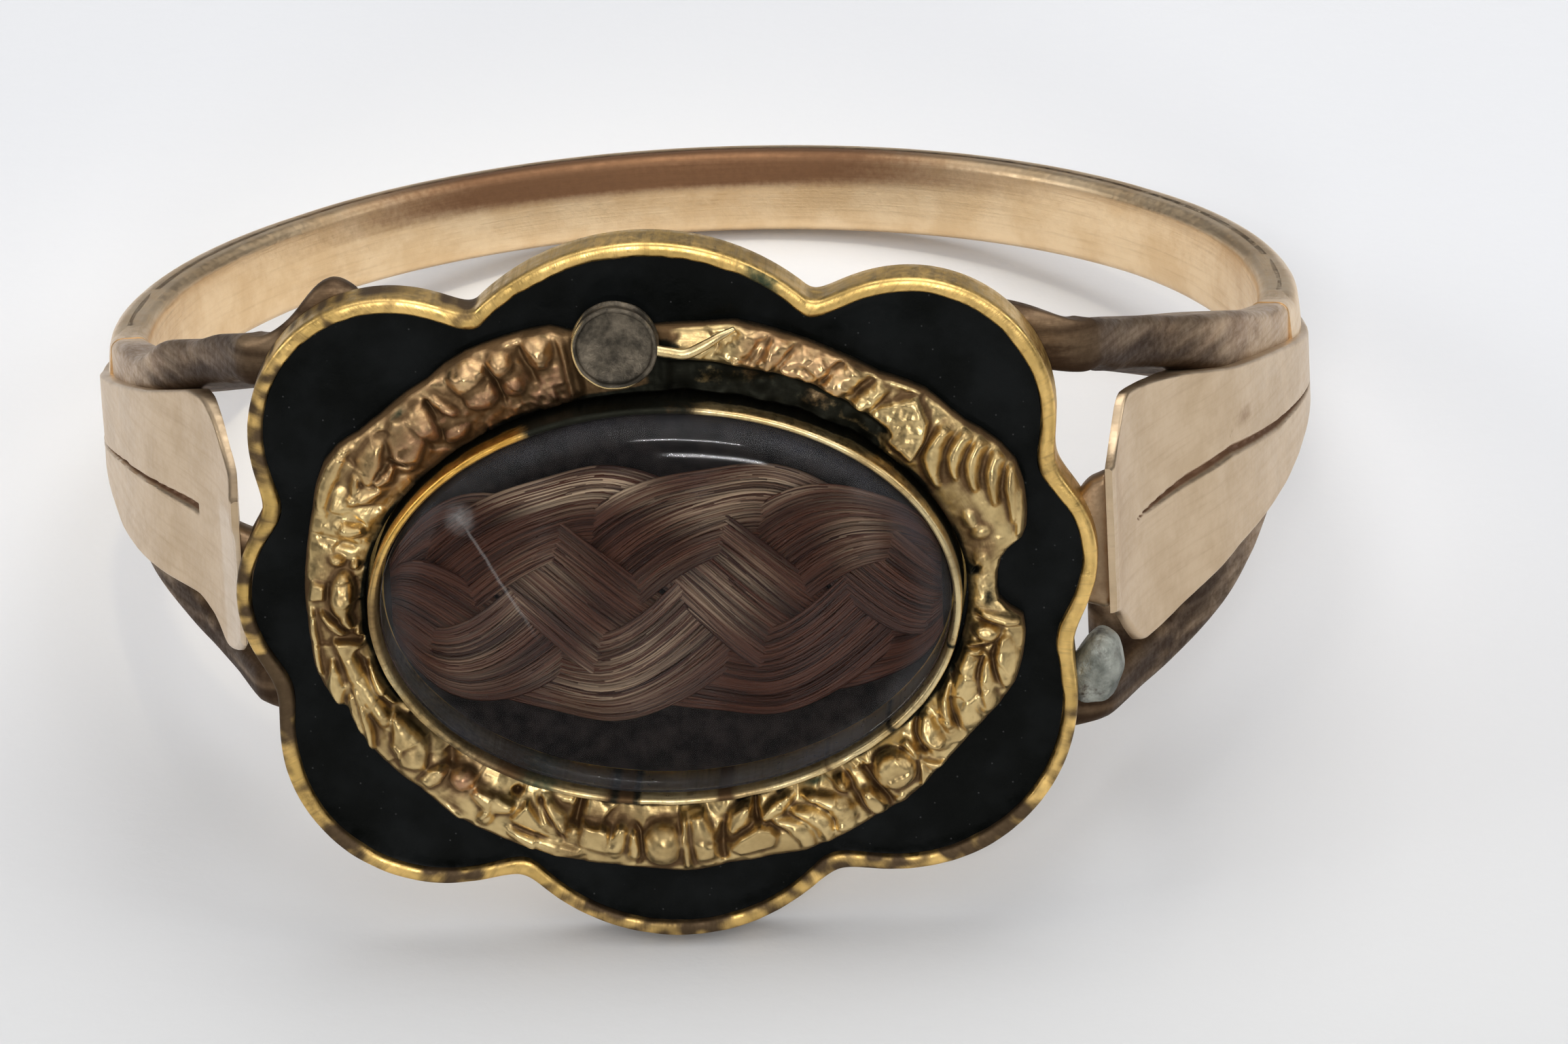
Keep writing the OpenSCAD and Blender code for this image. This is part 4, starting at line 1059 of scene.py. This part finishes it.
def line_frame(clock, share, row):
    """Place along a curved line through three points, and the signed distance from it in millimetres."""
    px, py = clock * MM_PER_DEGREE, share * MM_PER_SHARE
    start, middle, end = row[:6].reshape(3, 2) * [MM_PER_DEGREE, MM_PER_SHARE]
    t = np.linspace(0, 1, 25)[:, None]
    line = start * ((1 - t) * (1 - 2 * t)) + middle * (4 * t * (1 - t)) + end * (t * (2 * t - 1))
    best = np.full(px.shape, 1e9)
    along, aside = np.zeros(px.shape), np.zeros(px.shape)
    for k in range(len(line) - 1):
        step = line[k + 1] - line[k]
        f = np.clip(((px - line[k, 0]) * step[0] + (py - line[k, 1]) * step[1]) / (step @ step), 0, 1)
        dx, dy = px - line[k, 0] - f * step[0], py - line[k, 1] - f * step[1]
        d = np.hypot(dx, dy)
        better = d < best
        best = np.where(better, d, best)
        along = np.where(better, (k + f) / (len(line) - 1), along)
        aside = np.where(better, np.sign(dx * step[1] - dy * step[0]) * d, aside)
    return along, aside


def nearby(clock, clocks, room):
    """The rows of the grid within some millimetres of the clock angles."""
    low, high = min(clocks) - room / MM_PER_DEGREE, max(clocks) + room / MM_PER_DEGREE
    rows = np.nonzero((clock[:, 0] >= low) & (clock[:, 0] <= high))[0]
    return slice(rows[0], rows[-1] + 1)


def hammered(flat):
    """Small tilted facets left by the punch, as heights over a plane of millimetres."""
    draw = np.random.default_rng(84)
    columns, lanes = 74, 4
    seeds = np.stack(np.meshgrid(np.arange(columns) + 0.5, np.arange(lanes) + 0.2, indexing="ij"), -1)
    seeds = seeds.reshape(-1, 2)
    seeds = (seeds + draw.uniform(-0.42, 0.42, seeds.shape)) * [360 * MM_PER_DEGREE / columns, 0.36]
    tilt = draw.uniform(-0.2, 0.2, (len(seeds), 2))
    lift = draw.uniform(-0.015, 0.02, len(seeds))
    near = np.full(flat.shape[:-1], 1e9)
    height = np.zeros(flat.shape[:-1])
    for k, seed in enumerate(seeds):
        rows = np.nonzero(np.abs(flat[:, 0, 0] - seed[0]) < 0.75)[0]
        part = slice(rows[0], rows[-1] + 1)
        away = flat[part] - seed
        d = (away**2).sum(-1)
        closer = d < near[part]
        height[part] = np.where(closer, lift[k] + away @ tilt[k], height[part])
        near[part] = np.where(closer, d, near[part])
    return height


def flat_cut(px, py, corners, levels):
    """How far places in millimetres lie in a flat cut, and its plane's heights."""
    p = corners * [MM_PER_DEGREE, MM_PER_SHARE]
    plane = np.linalg.solve(np.c_[p[:3], np.ones(3)], np.array(levels))
    sides = list(zip(p, np.roll(p, -1, axis=0)))
    turn = np.sign(sum(a[0] * b[1] - b[0] * a[1] for a, b in sides))
    inside = np.full(px.shape, 1e9)
    for a, b in sides:
        step = (b - a) / np.linalg.norm(b - a)
        inside = np.minimum(inside, ((py - a[1]) * step[0] - (px - a[0]) * step[1]) * turn)
    return rise(inside, -0.02, 0.05), np.clip(plane[0] * px + plane[1] * py + plane[2], 0.1, 0.7)


def border_heights(clock, share, t):
    """The chased relief over the enamel."""
    flat = together(clock * MM_PER_DEGREE, share * MM_PER_SHARE)
    calm = 1 - 0.8 * between(clock, *CALM)
    ground = BORDER_H * (0.6 + 0.5 * np.sin(np.pi * t) ** 0.7) + hammered(flat) * calm
    relief = np.zeros_like(ground)
    for row in BLADES:
        part = nearby(clock, row[0:6:2], 0.3)
        along, aside = line_frame(clock[part], share[part], row)
        q = aside / (np.interp(along, [0, 0.5, 1], row[6:9]) * 1.4)
        high, lean = row[9:]
        ends = np.clip(np.minimum(along, 1 - along) / 0.07, 0, 1) ** 0.5
        body = np.maximum(1 - q**2, 0) ** 0.55 * (1 + lean * q) / (1 + abs(lean) * 0.4)
        relief[part] = np.maximum(relief[part], 0.72 * high * body * (0.35 + 0.65 * ends))
    for at, at_share, reach, wide, high, flatness in BOSSES:
        part = nearby(clock, (at - reach, at + reach), 0.1)
        d = (((clock[part] - at) / reach) ** 2 + ((share[part] - at_share) / wide) ** 2) / 1.25
        body = np.maximum(1 - d**flatness, 0) ** (0.6 if flatness > 1 else 0.75)
        relief[part] = np.maximum(relief[part], 0.85 * high * body)
    height = ground + relief * np.clip(share * 6 + 0.15, 0, 1)
    for corners, levels in FACETS:
        part = nearby(clock, corners[:, 0], 0.1)
        inside, level = flat_cut(flat[part, :, 0], flat[part, :, 1], corners, levels)
        height[part] = height[part] * (1 - inside) + level * inside
    for row in CUTS:
        part = nearby(clock, row[0:6:2], 0.2)
        along, aside = line_frame(clock[part], share[part], row)
        ends = np.clip(np.minimum(along, 1 - along) / 0.1, 0.3, 1)
        height[part] -= row[7] * spot((aside, 0, row[6])) * ends
    return height


def neighbours(values, round_border):
    """The values before, at and after each place, round the border or across it."""
    if round_border:
        pad = np.pad(values, ((1, 1), (0, 0)), mode="wrap")
        return pad[:-2], pad[1:-1], pad[2:]
    pad = np.pad(values, ((0, 0), (1, 1)), mode="edge")
    return pad[:, :-2], pad[:, 1:-1], pad[:, 2:]


def softened(height):
    """The heights as they would be without the relief's fine forms."""
    for _ in range(12):
        for round_border in (True, False):
            height = sum(neighbours(height, round_border)) / 3
    return height


def worn_round(height):
    for times, round_border, beside, own in ((3, True, 0.27, 0.46), (2, False, 0.2, 0.6)):
        for _ in range(times):
            before, here, after = neighbours(height, round_border)
            height = before * beside + here * own + after * beside
    return height


def border_point(clock, share):
    """Across and up of a place on the border."""
    a = (COLLET_A + BORDER_GAP) * (1 - share) + BORDER_A * share
    b = (COLLET_B + BORDER_GAP) * (1 - share) + BORDER_B * share
    return a * np.sin(np.radians(clock)), b * np.cos(np.radians(clock))


def border_spot(clock, share, place):
    return spot((clock, *place[0]), (share, *place[1]))


def rosy_at(clock, share):
    """Where the border's gold has a reddish tarnish: the upper left, and some of the ribs at the top."""
    left = between(clock, *ROSY_LEFT) * (1 - 0.5 * rise(share, 0.5, 0.3))
    return left + 0.5 * between(clock, *ROSY_RIBS) + border_spot(clock, share, ROSY_SPOT)


def border_marks(clock, share, flat, height, hollow, patch):
    """The border's tarnish, and painted shade in the channel along the collet. The two last columns are its
    foot, which is hidden.
    """
    from_top = signed(clock)
    warm = rosy_at(clock, share)
    plain = border_spot(clock, share, PLAIN_SPOT)
    plain = plain + 1.3 * between(clock, *PLAIN) * rise(share, 0.75, -0.3)
    under_cup = rise(np.abs(from_top - CUP_CLOCK), 11, -3)
    dirt_and_shade = np.clip(0.2 + 0.85 * hollow, 0, 1) + 0.3 * rise(waves(flat, 1.1, 85), 0, 1)
    dirt_and_shade = dirt_and_shade + 0.22 * plain + 0.2 * warm + 0.5 * under_cup - 0.16 * between(clock, *CLEAN)
    # painted shade in the channel between the border's inner edge and the collet
    channel_shade = rise(share, 0.13, -0.1) * (0.62 + 0.3 * waves(flat, 0.8, 86))
    soot_and_shade = (0.6 + 0.2 * waves(flat, 0.5, 87)) * patch + channel_shade + 0.36 * rise(hollow, 0.3, 0.4)
    soot_and_shade = soot_and_shade + 0.7 * border_spot(clock, share, DARK_HOLE) + 0.6 * border_spot(clock, share, DARK_TEAR)
    soot_and_shade = soot_and_shade + 0.8 * spot((from_top, 1.5, 4.5)) * rise(share, 0.85, -0.2)
    green = sum(k * spot((clock, at, reach), (share, s, wide)) for at, s, reach, wide, k in GREEN_SPOTS)
    foot = (0, 0), (0, 2)
    return {
        "run": np.pad(together(flat[..., 0], flat[..., 1], height), (*foot, (0, 0))),
        "dirt_and_shade": np.pad(dirt_and_shade, foot, constant_values=0.6),
        "soot_and_shade": np.pad(soot_and_shade, foot, constant_values=0.6),
        "green": np.pad(green, foot),
        "warm": np.pad(warm, foot),
    }


def chased_border():
    """The raised oval ornament round the collet."""
    around, across = 1800, 44
    clock, t = np.meshgrid(np.arange(around) * 360 / around, np.linspace(0, 1, across), indexing="ij")
    share = t * straight(EDGE, clock, 1)
    flat = together(clock * MM_PER_DEGREE, share * MM_PER_SHARE)
    height = border_heights(clock, share, t)
    # the broken patch, with its crust, and the cup's seat beside it
    start, end = BROKEN
    patch = rise(np.minimum(clock - start, end - clock), 0, 3)
    patch = patch * rise(share + 0.006 * np.maximum(clock - 28, 0), 0.5, -0.1)
    height = height * (1 - patch) + (0.11 + 0.05 * waves(flat, 0.22, 81)) * patch
    seat = np.clip((1 - np.abs(signed(clock - CUP_CLOCK)) / 9) * 4, 0, 1)
    height = height * (1 - seat) + 0.2 * seat
    frosted = sum(rise(np.minimum(clock - start, end - clock), 0, 3) for start, end in FROSTED)
    grain = 0.004 + 0.014 * frosted * (1 - patch)
    height = height + grain * waves(flat, 0.06, 82, 40) + 0.008 * waves(flat, 0.5, 83)
    # the rolled outer edge
    roll = np.clip((t - 0.94) / 0.06, 0, 1)
    height = np.clip(height * np.sqrt(np.maximum(1 - 0.75 * roll**2, 0)), 0.03, 0.72)
    soft = softened(height)
    height = worn_round(height)
    u, v = border_point(clock, share)
    top = on_window(u, v, BORDER_BASE + height)
    foot = on_window(u[:, [-1, 0]], v[:, [-1, 0]], BORDER_BASE - BORDER_SINK)
    points = np.concatenate([top, foot], 1)
    marks = border_marks(clock, share, flat, height, (soft - height) / 0.06, patch)
    faces = ring_faces(around, across + 2)
    piece("chased_wreath", points, faces, border_gold, ["chased_border"], marks)


# The cup's section, as reach and height: over its foot, its ridged collar and its lip and down inside
CUP_SECTION = table(2, """
0.02 0   0.4 0   0.56 0   0.6 0.04   0.6 0.1   0.655 0.13   0.66 0.16   0.64 0.19   0.61 0.22   0.62 0.3
0.64 0.42   0.65 0.46   0.645 0.485   0.625 0.498   0.6 0.498   0.58 0.485   0.57 0.45   0.565 0.4
0.53 0.38   0.4 0.368   0.2 0.36   0.02 0.358
""")
# The wire: its radius at the start, further on and at the end, then its line as places on the border and
# heights over the border's base
WIRE_RADII = 0.085, 0.08, 0.045
WIRE = table(3, "0.6 0.7 0.62   3 0.66 0.6   5.6 0.64 0.58   8.5 0.76 0.56   11 0.9 0.5   13 0.98 0.36")


def worn_cup():
    """The shallow cup: a turned shape, worn uneven, standing in a ridged collar."""
    around = 160
    t = round_angles(around)
    r, h = CUP_SECTION.T[..., None]
    ring = together(r * np.cos(t), r * np.sin(t))
    worn = waves(ring, 0.35, 91)
    lift = h - (0.02 * (1 + worn) * (h > 0.35)) * (0.3 + 0.7 * (np.cos(t + 0.6) + 1) / 2)
    size = 1 - 0.02 * np.abs(waves(together(np.cos(t), np.sin(t)), 0.8, 92)) * (r > 0.5)
    u, v = border_point(CUP_CLOCK, CUP_SHARE)
    n = BORDER_BASE + CUP_BASE + np.clip(lift, 0, 0.5)
    points = on_window(u + ring[..., 0] * size, v + ring[..., 1] * size, n)
    # a painted highlight on the lip and on the collar's ridge, strongest on the lower left
    lip_highlight = 0.5 + 0.5 * np.cos(t - math.radians(215)) + 0.22 * worn
    marks = {"edge": lip_highlight * ((r > 0.6) & ((h > 0.4) | (h < 0.2)))}
    faces = loft_faces(len(CUP_SECTION), around)
    piece("worn_boss", points, faces, cup_paint(), ["top_boss"], marks, sharp=60)


def gold_wire():
    """The bent wire from the cup over the broken patch. It thins out towards its end."""
    stations, sides = 60, 14
    at, stops = np.linspace(0, 1, stations), np.linspace(0, 1, len(WIRE))
    u, v = border_point(WIRE[:, 0], WIRE[:, 1])
    line = on_window(curve(stops, u, at), curve(stops, v, at), BORDER_BASE + curve(stops, WIRE[:, 2], at))
    loops = tube(line, np.interp(at, [0, 0.6, 1], WIRE_RADII), sides)
    marks = {"run": together(at[:, None] * 1.2, loops[..., 0], loops[..., 2])}
    piece("boss_wire_bent", loops, loft_faces(stations, sides), collet_gold, ["boss_wire"], marks)


# The window

PLAIT_SWING, PLAIT_PITCH, LOCK_W, LOCK_T, CROSSING_U = 1.28, 10, 1.5, 0.13, 1.15
LEVEL_H = 0.16
STRANDS, HAIR_RADII = 230, (0.015, 0.027)
LOCK_REACH = WINDOW_A - 0.16
# How a lock passes over and under the others: degrees of its swing, and level
WEAVE = table(2, """
0 -1   22.5 -0.5   45 0.5   67.5 1.5   83 0.9   90 0   97 -0.9
112.5 -1.5   135 -0.5   157.5 0.5   180 1   202.5 0.5   225 -0.5   247.5 -1.5
263 -0.9   270 0   277 0.9   292.5 1.5   315 0.5   337.5 -0.5   360 -1
""")
# Where the light catches the hair: across and up in the window, the spot's half sizes, and how strong
GLOWS = table(5, """
-1.75 1.66 0.9 0.25 0.75   -0.85 1.66 0.7 0.22 0.85   1.5 1.66 0.8 0.25 0.75   0.75 1.3 0.7 0.3 0.55
0.6 -0.15 0.7 0.5 0.5   1.15 0.3 0.5 0.4 0.3   -1 -1.45 0.8 0.35 0.7   -0.35 -0.9 0.7 0.35 0.6
-1.75 0.4 0.5 0.5 0.3   -2.3 -0.1 0.35 0.4 0.35   2.9 1 0.4 0.5 0.5   -3 -0.9 0.5 0.5 0.25
""")
# The scratch in the crystal: where it starts, and where it runs to from there
SCRATCH_U, SCRATCH_V = -2.98, 1.54
SCRATCH_RUN_U, SCRATCH_RUN_V = 1.24, -2.15


def hair_lock(index, finish):
    """One lock of the plait as fine strands along its line."""
    draw = np.random.default_rng(100 + index)
    steps, sides = 52, 4
    u = LOCK_REACH * np.linspace(-1, 1, steps)
    narrow = np.sqrt(np.maximum(1 - (u / WINDOW_A) ** 4, 0))
    phase = 360 * (u - CROSSING_U) / PLAIT_PITCH + 90 * index
    middle = PLAIT_SWING * narrow * np.sin(np.radians(phase))
    slope = PLAIT_SWING * 2 * math.pi / PLAIT_PITCH * np.cos(np.radians(phase))
    half = LOCK_W / 2 * np.sqrt(1 + slope**2) * (0.1 + 0.9 * narrow)
    level = eased(LEVEL_H * straight(WEAVE, phase % 360, 1), 2)
    limit = 0.94 * WINDOW_B * np.sqrt(np.maximum(1 - (u / WINDOW_A) ** 2, 0))
    tips = np.clip(np.minimum(np.arange(steps), steps - 1 - np.arange(steps)) / 2 + 0.2, 0, 1)
    across, up, wide, high, strength = GLOWS.T
    one = loft_faces(steps, sides)
    points, faces, tones, glows, lanes = [], [], [], [], []
    for k in range(STRANDS):
        q = np.clip(-1 + 2 * (k + 0.5) / STRANDS + draw.normal(0, 0.03), -0.98, 0.98)
        drift = 0.06 * np.sin(u * draw.uniform(0.4, 1.6) + draw.uniform(0, 6.3))
        q_at = np.clip(q + drift, -0.99, 0.99)
        v = middle + half * 0.98 * q_at
        v = limit * np.tanh(v / limit * 1.15) / math.tanh(1.9)
        n = HAIR_MID + level + LOCK_T / 2 * np.sqrt(1 - q_at**2) * draw.uniform(0.1, 1.0)
        points.append(tube(on_window(u, v, n), draw.uniform(*HAIR_RADII) * tips, sides))
        faces += [[i + k * steps * sides for i in face] for face in one]
        bunch = 0.5 + 0.5 * math.sin(q * 9 + index)
        tones.append(np.clip(0.65 * draw.uniform(0, 1) + 0.35 * bunch, 0, 1))
        caught = strength * spot((u[:, None], across, wide), (v[:, None], up, high))
        glows.append(np.clip(caught.sum(1) * 0.7 * draw.uniform(0, 1.3) ** 1.5, 0, 0.9))
        lanes.append(q * 3 + k)
    marks = {
        "tone": np.array(tones)[:, None, None],
        "glow": np.array(glows)[..., None],
        "run": together(u[:, None], np.array(lanes)[:, None, None], 0),
    }
    stands_for = [f"hair_lock_{index + 1}"]
    piece(f"strands_{index + 1}", points, faces, finish, stands_for, marks, close=False)


def backing_board():
    """The dark, slightly uneven board behind the hair."""
    around = 180
    t = round_angles(around)
    share = np.linspace(0.04, 1, 12)[:, None]
    u, v = WINDOW_A * share * np.cos(t), WINDOW_B * share * np.sin(t)
    face = on_window(u, v, GROUND_TOP + 0.012 * waves(together(u, v), 0.5, 95))
    points = np.concatenate([face, window_ring(WINDOW_A, WINDOW_B, t, GROUND_BASE)[None]])
    faces = loft_faces(len(points), around)
    piece("backing_board", points, faces, ground_paint(), ["hair_ground"], sharp=60)


def crystal_dome():
    """The domed glass: four rings of its flat underside, then the dome."""
    around, rings = 240, 40
    t = round_angles(around)
    lift = math.pi / 2 * np.arange(rings) / (rings - 1)
    under = [0.02, 0.5, 0.97, 0.995]
    share = np.concatenate([under, 0.995 * np.cos(lift) + 0.005])[:, None]
    n = np.concatenate([[0, 0, 0, 0.03], CRYSTAL_EDGE + DOME_H * np.sin(lift) ** 0.8 * 0.985])[:, None]
    lift = np.concatenate([np.zeros(len(under)), lift])[:, None]
    u, v = WINDOW_A * share * np.cos(t), WINDOW_B * share * np.sin(t)
    uneven = 0.004 * waves(together(u, v), 1.5, 96) * np.sin(lift)
    points = on_window(u, v, CRYSTAL_BASE + n + uneven)
    # how near the dome's rim a place is; the glass paints its reflection there
    edge = np.maximum(0, 1 - WINDOW_B * (1 - share) / 0.75)
    edge[: len(under)] = 0
    turn = math.atan2(SCRATCH_RUN_V, SCRATCH_RUN_U)
    c, s = math.cos(turn), math.sin(turn)
    u, v = u - SCRATCH_U, v - SCRATCH_V
    scratch = together(u * c + v * s, v * c - u * s, 0)
    scratch[: len(under)] = 9
    marks = {"edge": edge, "scratch": scratch}
    faces = loft_faces(len(points), around)
    piece("crystal_dome", points, faces, glass_paint(), ["crystal"], marks)


# Floor, light and camera

# The camera stands off the ring at a bearing and a height, and is rolled. The aim is in the ring's own frame.
VIEW_BEARING, VIEW_HEIGHT, VIEW_ROLL = math.radians(3.2), math.radians(19.0), math.radians(-2.8)
VIEW_DISTANCE = 180
VIEW_AIM = 1.112, 0, -2.76
# Focal length and width of the photograph in pixels, and the width of the camera's film in millimetres
FOCAL_PX, PHOTO_PX, FILM_W = 16636.7, 2308, 36


def floor():
    p = Paint("pale_floor", Roughness=0.7)
    colour = p.mix(p.span(p.noise(0.02, 3), 0.3, 0.7), (0.80, 0.81, 0.83), (0.84, 0.84, 0.85))
    # the floor is painted darker towards the front, as shade away from the lamps
    p.set(Base_Color=p.mix(p.span(p.parts(p.place)["Y"], 8, -26), colour, (0.70, 0.705, 0.70)))
    p.set(Normal=p.bump(p.noise(3, 3), 0.01))
    half, steps = 0.6, 25
    at = np.linspace(-half, half, steps)
    points = together(at[:, None], at, -0.00001).reshape(-1, 3)
    mesh = bpy.data.meshes.new("floor")
    mesh.from_pydata(points.tolist(), [], grid_faces(steps, steps))
    mesh.materials.append(p.mat)
    plane = show("floor", mesh)


def lamp(name, place, aim, size, power):
    light = bpy.data.lights.new(name, "AREA")
    light.shape = "RECTANGLE"
    light.size, light.size_y = size
    light.energy = power
    shown = show(name, light)
    shown.location = place
    shown.rotation_euler = (Vector(aim) - Vector(place)).to_track_quat("-Z", "Y").to_euler()


def hoop_glow():
    """The warm light that the gold throws on the floor inside the hoop."""
    light = bpy.data.lights.new("hoop_glow", "SPOT")
    light.energy, light.color = 0.11, (1, 0.87, 0.62)
    light.spot_size, light.spot_blend, light.shadow_soft_size = 0.17, 0.5, 0.006
    show("hoop_glow", light).location = (-0.0025, 0.005, 0.1)


def camera():
    """The photograph's view."""
    c, s = math.cos(VIEW_BEARING), math.sin(VIEW_BEARING)
    out = np.array([s * math.cos(VIEW_HEIGHT), -c * math.cos(VIEW_HEIGHT), math.sin(VIEW_HEIGHT)])
    right = np.array([c, s, 0])
    up = np.cross(out, right)
    c, s = math.cos(VIEW_ROLL), math.sin(VIEW_ROLL)
    axes = turned([c * right + s * up, -s * right + c * up, out])
    place = lay(VIEW_AIM) + axes[2] * VIEW_DISTANCE / 1000
    data = bpy.data.cameras.new("photo_camera")
    data.sensor_fit = "HORIZONTAL"
    data.sensor_width = FILM_W
    data.lens = FOCAL_PX / PHOTO_PX * FILM_W
    data.clip_start, data.clip_end = 0.01, 10
    shown = show("photo_camera", data)
    shown.matrix_world = Matrix.Translation(place) @ Matrix(axes.T.tolist()).to_4x4()
    bpy.context.scene.camera = shown


def world():
    """A pale sky that grows brighter upwards."""
    sky = bpy.data.worlds.new("studio")
    bpy.context.scene.world = sky
    sky.use_nodes = True
    tree = sky.node_tree
    back = tree.nodes["Background"]
    coords = tree.nodes.new("ShaderNodeTexCoord")
    split = tree.nodes.new("ShaderNodeSeparateXYZ")
    tree.links.new(coords.outputs["Generated"], split.inputs[0])
    ramp = tree.nodes.new("ShaderNodeValToRGB")
    stops = ramp.color_ramp.elements
    stops[0].position, stops[0].color = 0.0, (0.05, 0.05, 0.055, 1)
    stops[1].position, stops[1].color = 1.0, (0.95, 0.95, 0.97, 1)
    stops.new(0.35).color = (0.25, 0.25, 0.26, 1)
    tree.links.new(split.outputs["Z"], ramp.inputs[0])
    tree.links.new(ramp.outputs[0], back.inputs[0])
    back.inputs[1].default_value = 0.62


band()
for word, side in (("right", 1), ("left", -1)):
    strap(f"strap_{word}_upper", side, True, 62)
    strap(f"strap_{word}_lower", side, False, 63)
    leaf_plate(f"leaf_{word}", side)
web("web_right", 1, WEB_RIGHT)
web("web_left", -1, WEB_LEFT)
head_tray()
collet_ring()
solder_blob()
enamel_field()
chased_border()
worn_cup()
gold_wire()
hair = hair_paint()
for index in range(4):
    hair_lock(index, hair)
backing_board()
crystal_dome()

floor()
lamp("key", (0.012, 0.03, 0.1), (0, 0, 0), (0.1, 0.08), 0.05)
lamp("front", (0.03, -0.15, 0.16), (0, 0, 0.003), (0.14, 0.08), 0.05)
lamp("strip", (0.008, -0.276, 0.117), (0, 0, 0.003), (0.045, 0.006), 0.11)
lamp("strip_high", (0.0, -0.247, 0.168), (0, 0, 0.003), (0.06, 0.005), 0.13)
lamp("fill_left", (-0.12, -0.02, 0.08), (0, 0, 0.002), (0.08, 0.06), 0.034)
lamp("fill_right", (0.12, -0.02, 0.08), (0, 0, 0.002), (0.08, 0.06), 0.03)
hoop_glow()
camera()
world()
bpy.context.scene.view_settings.view_transform = "Standard"
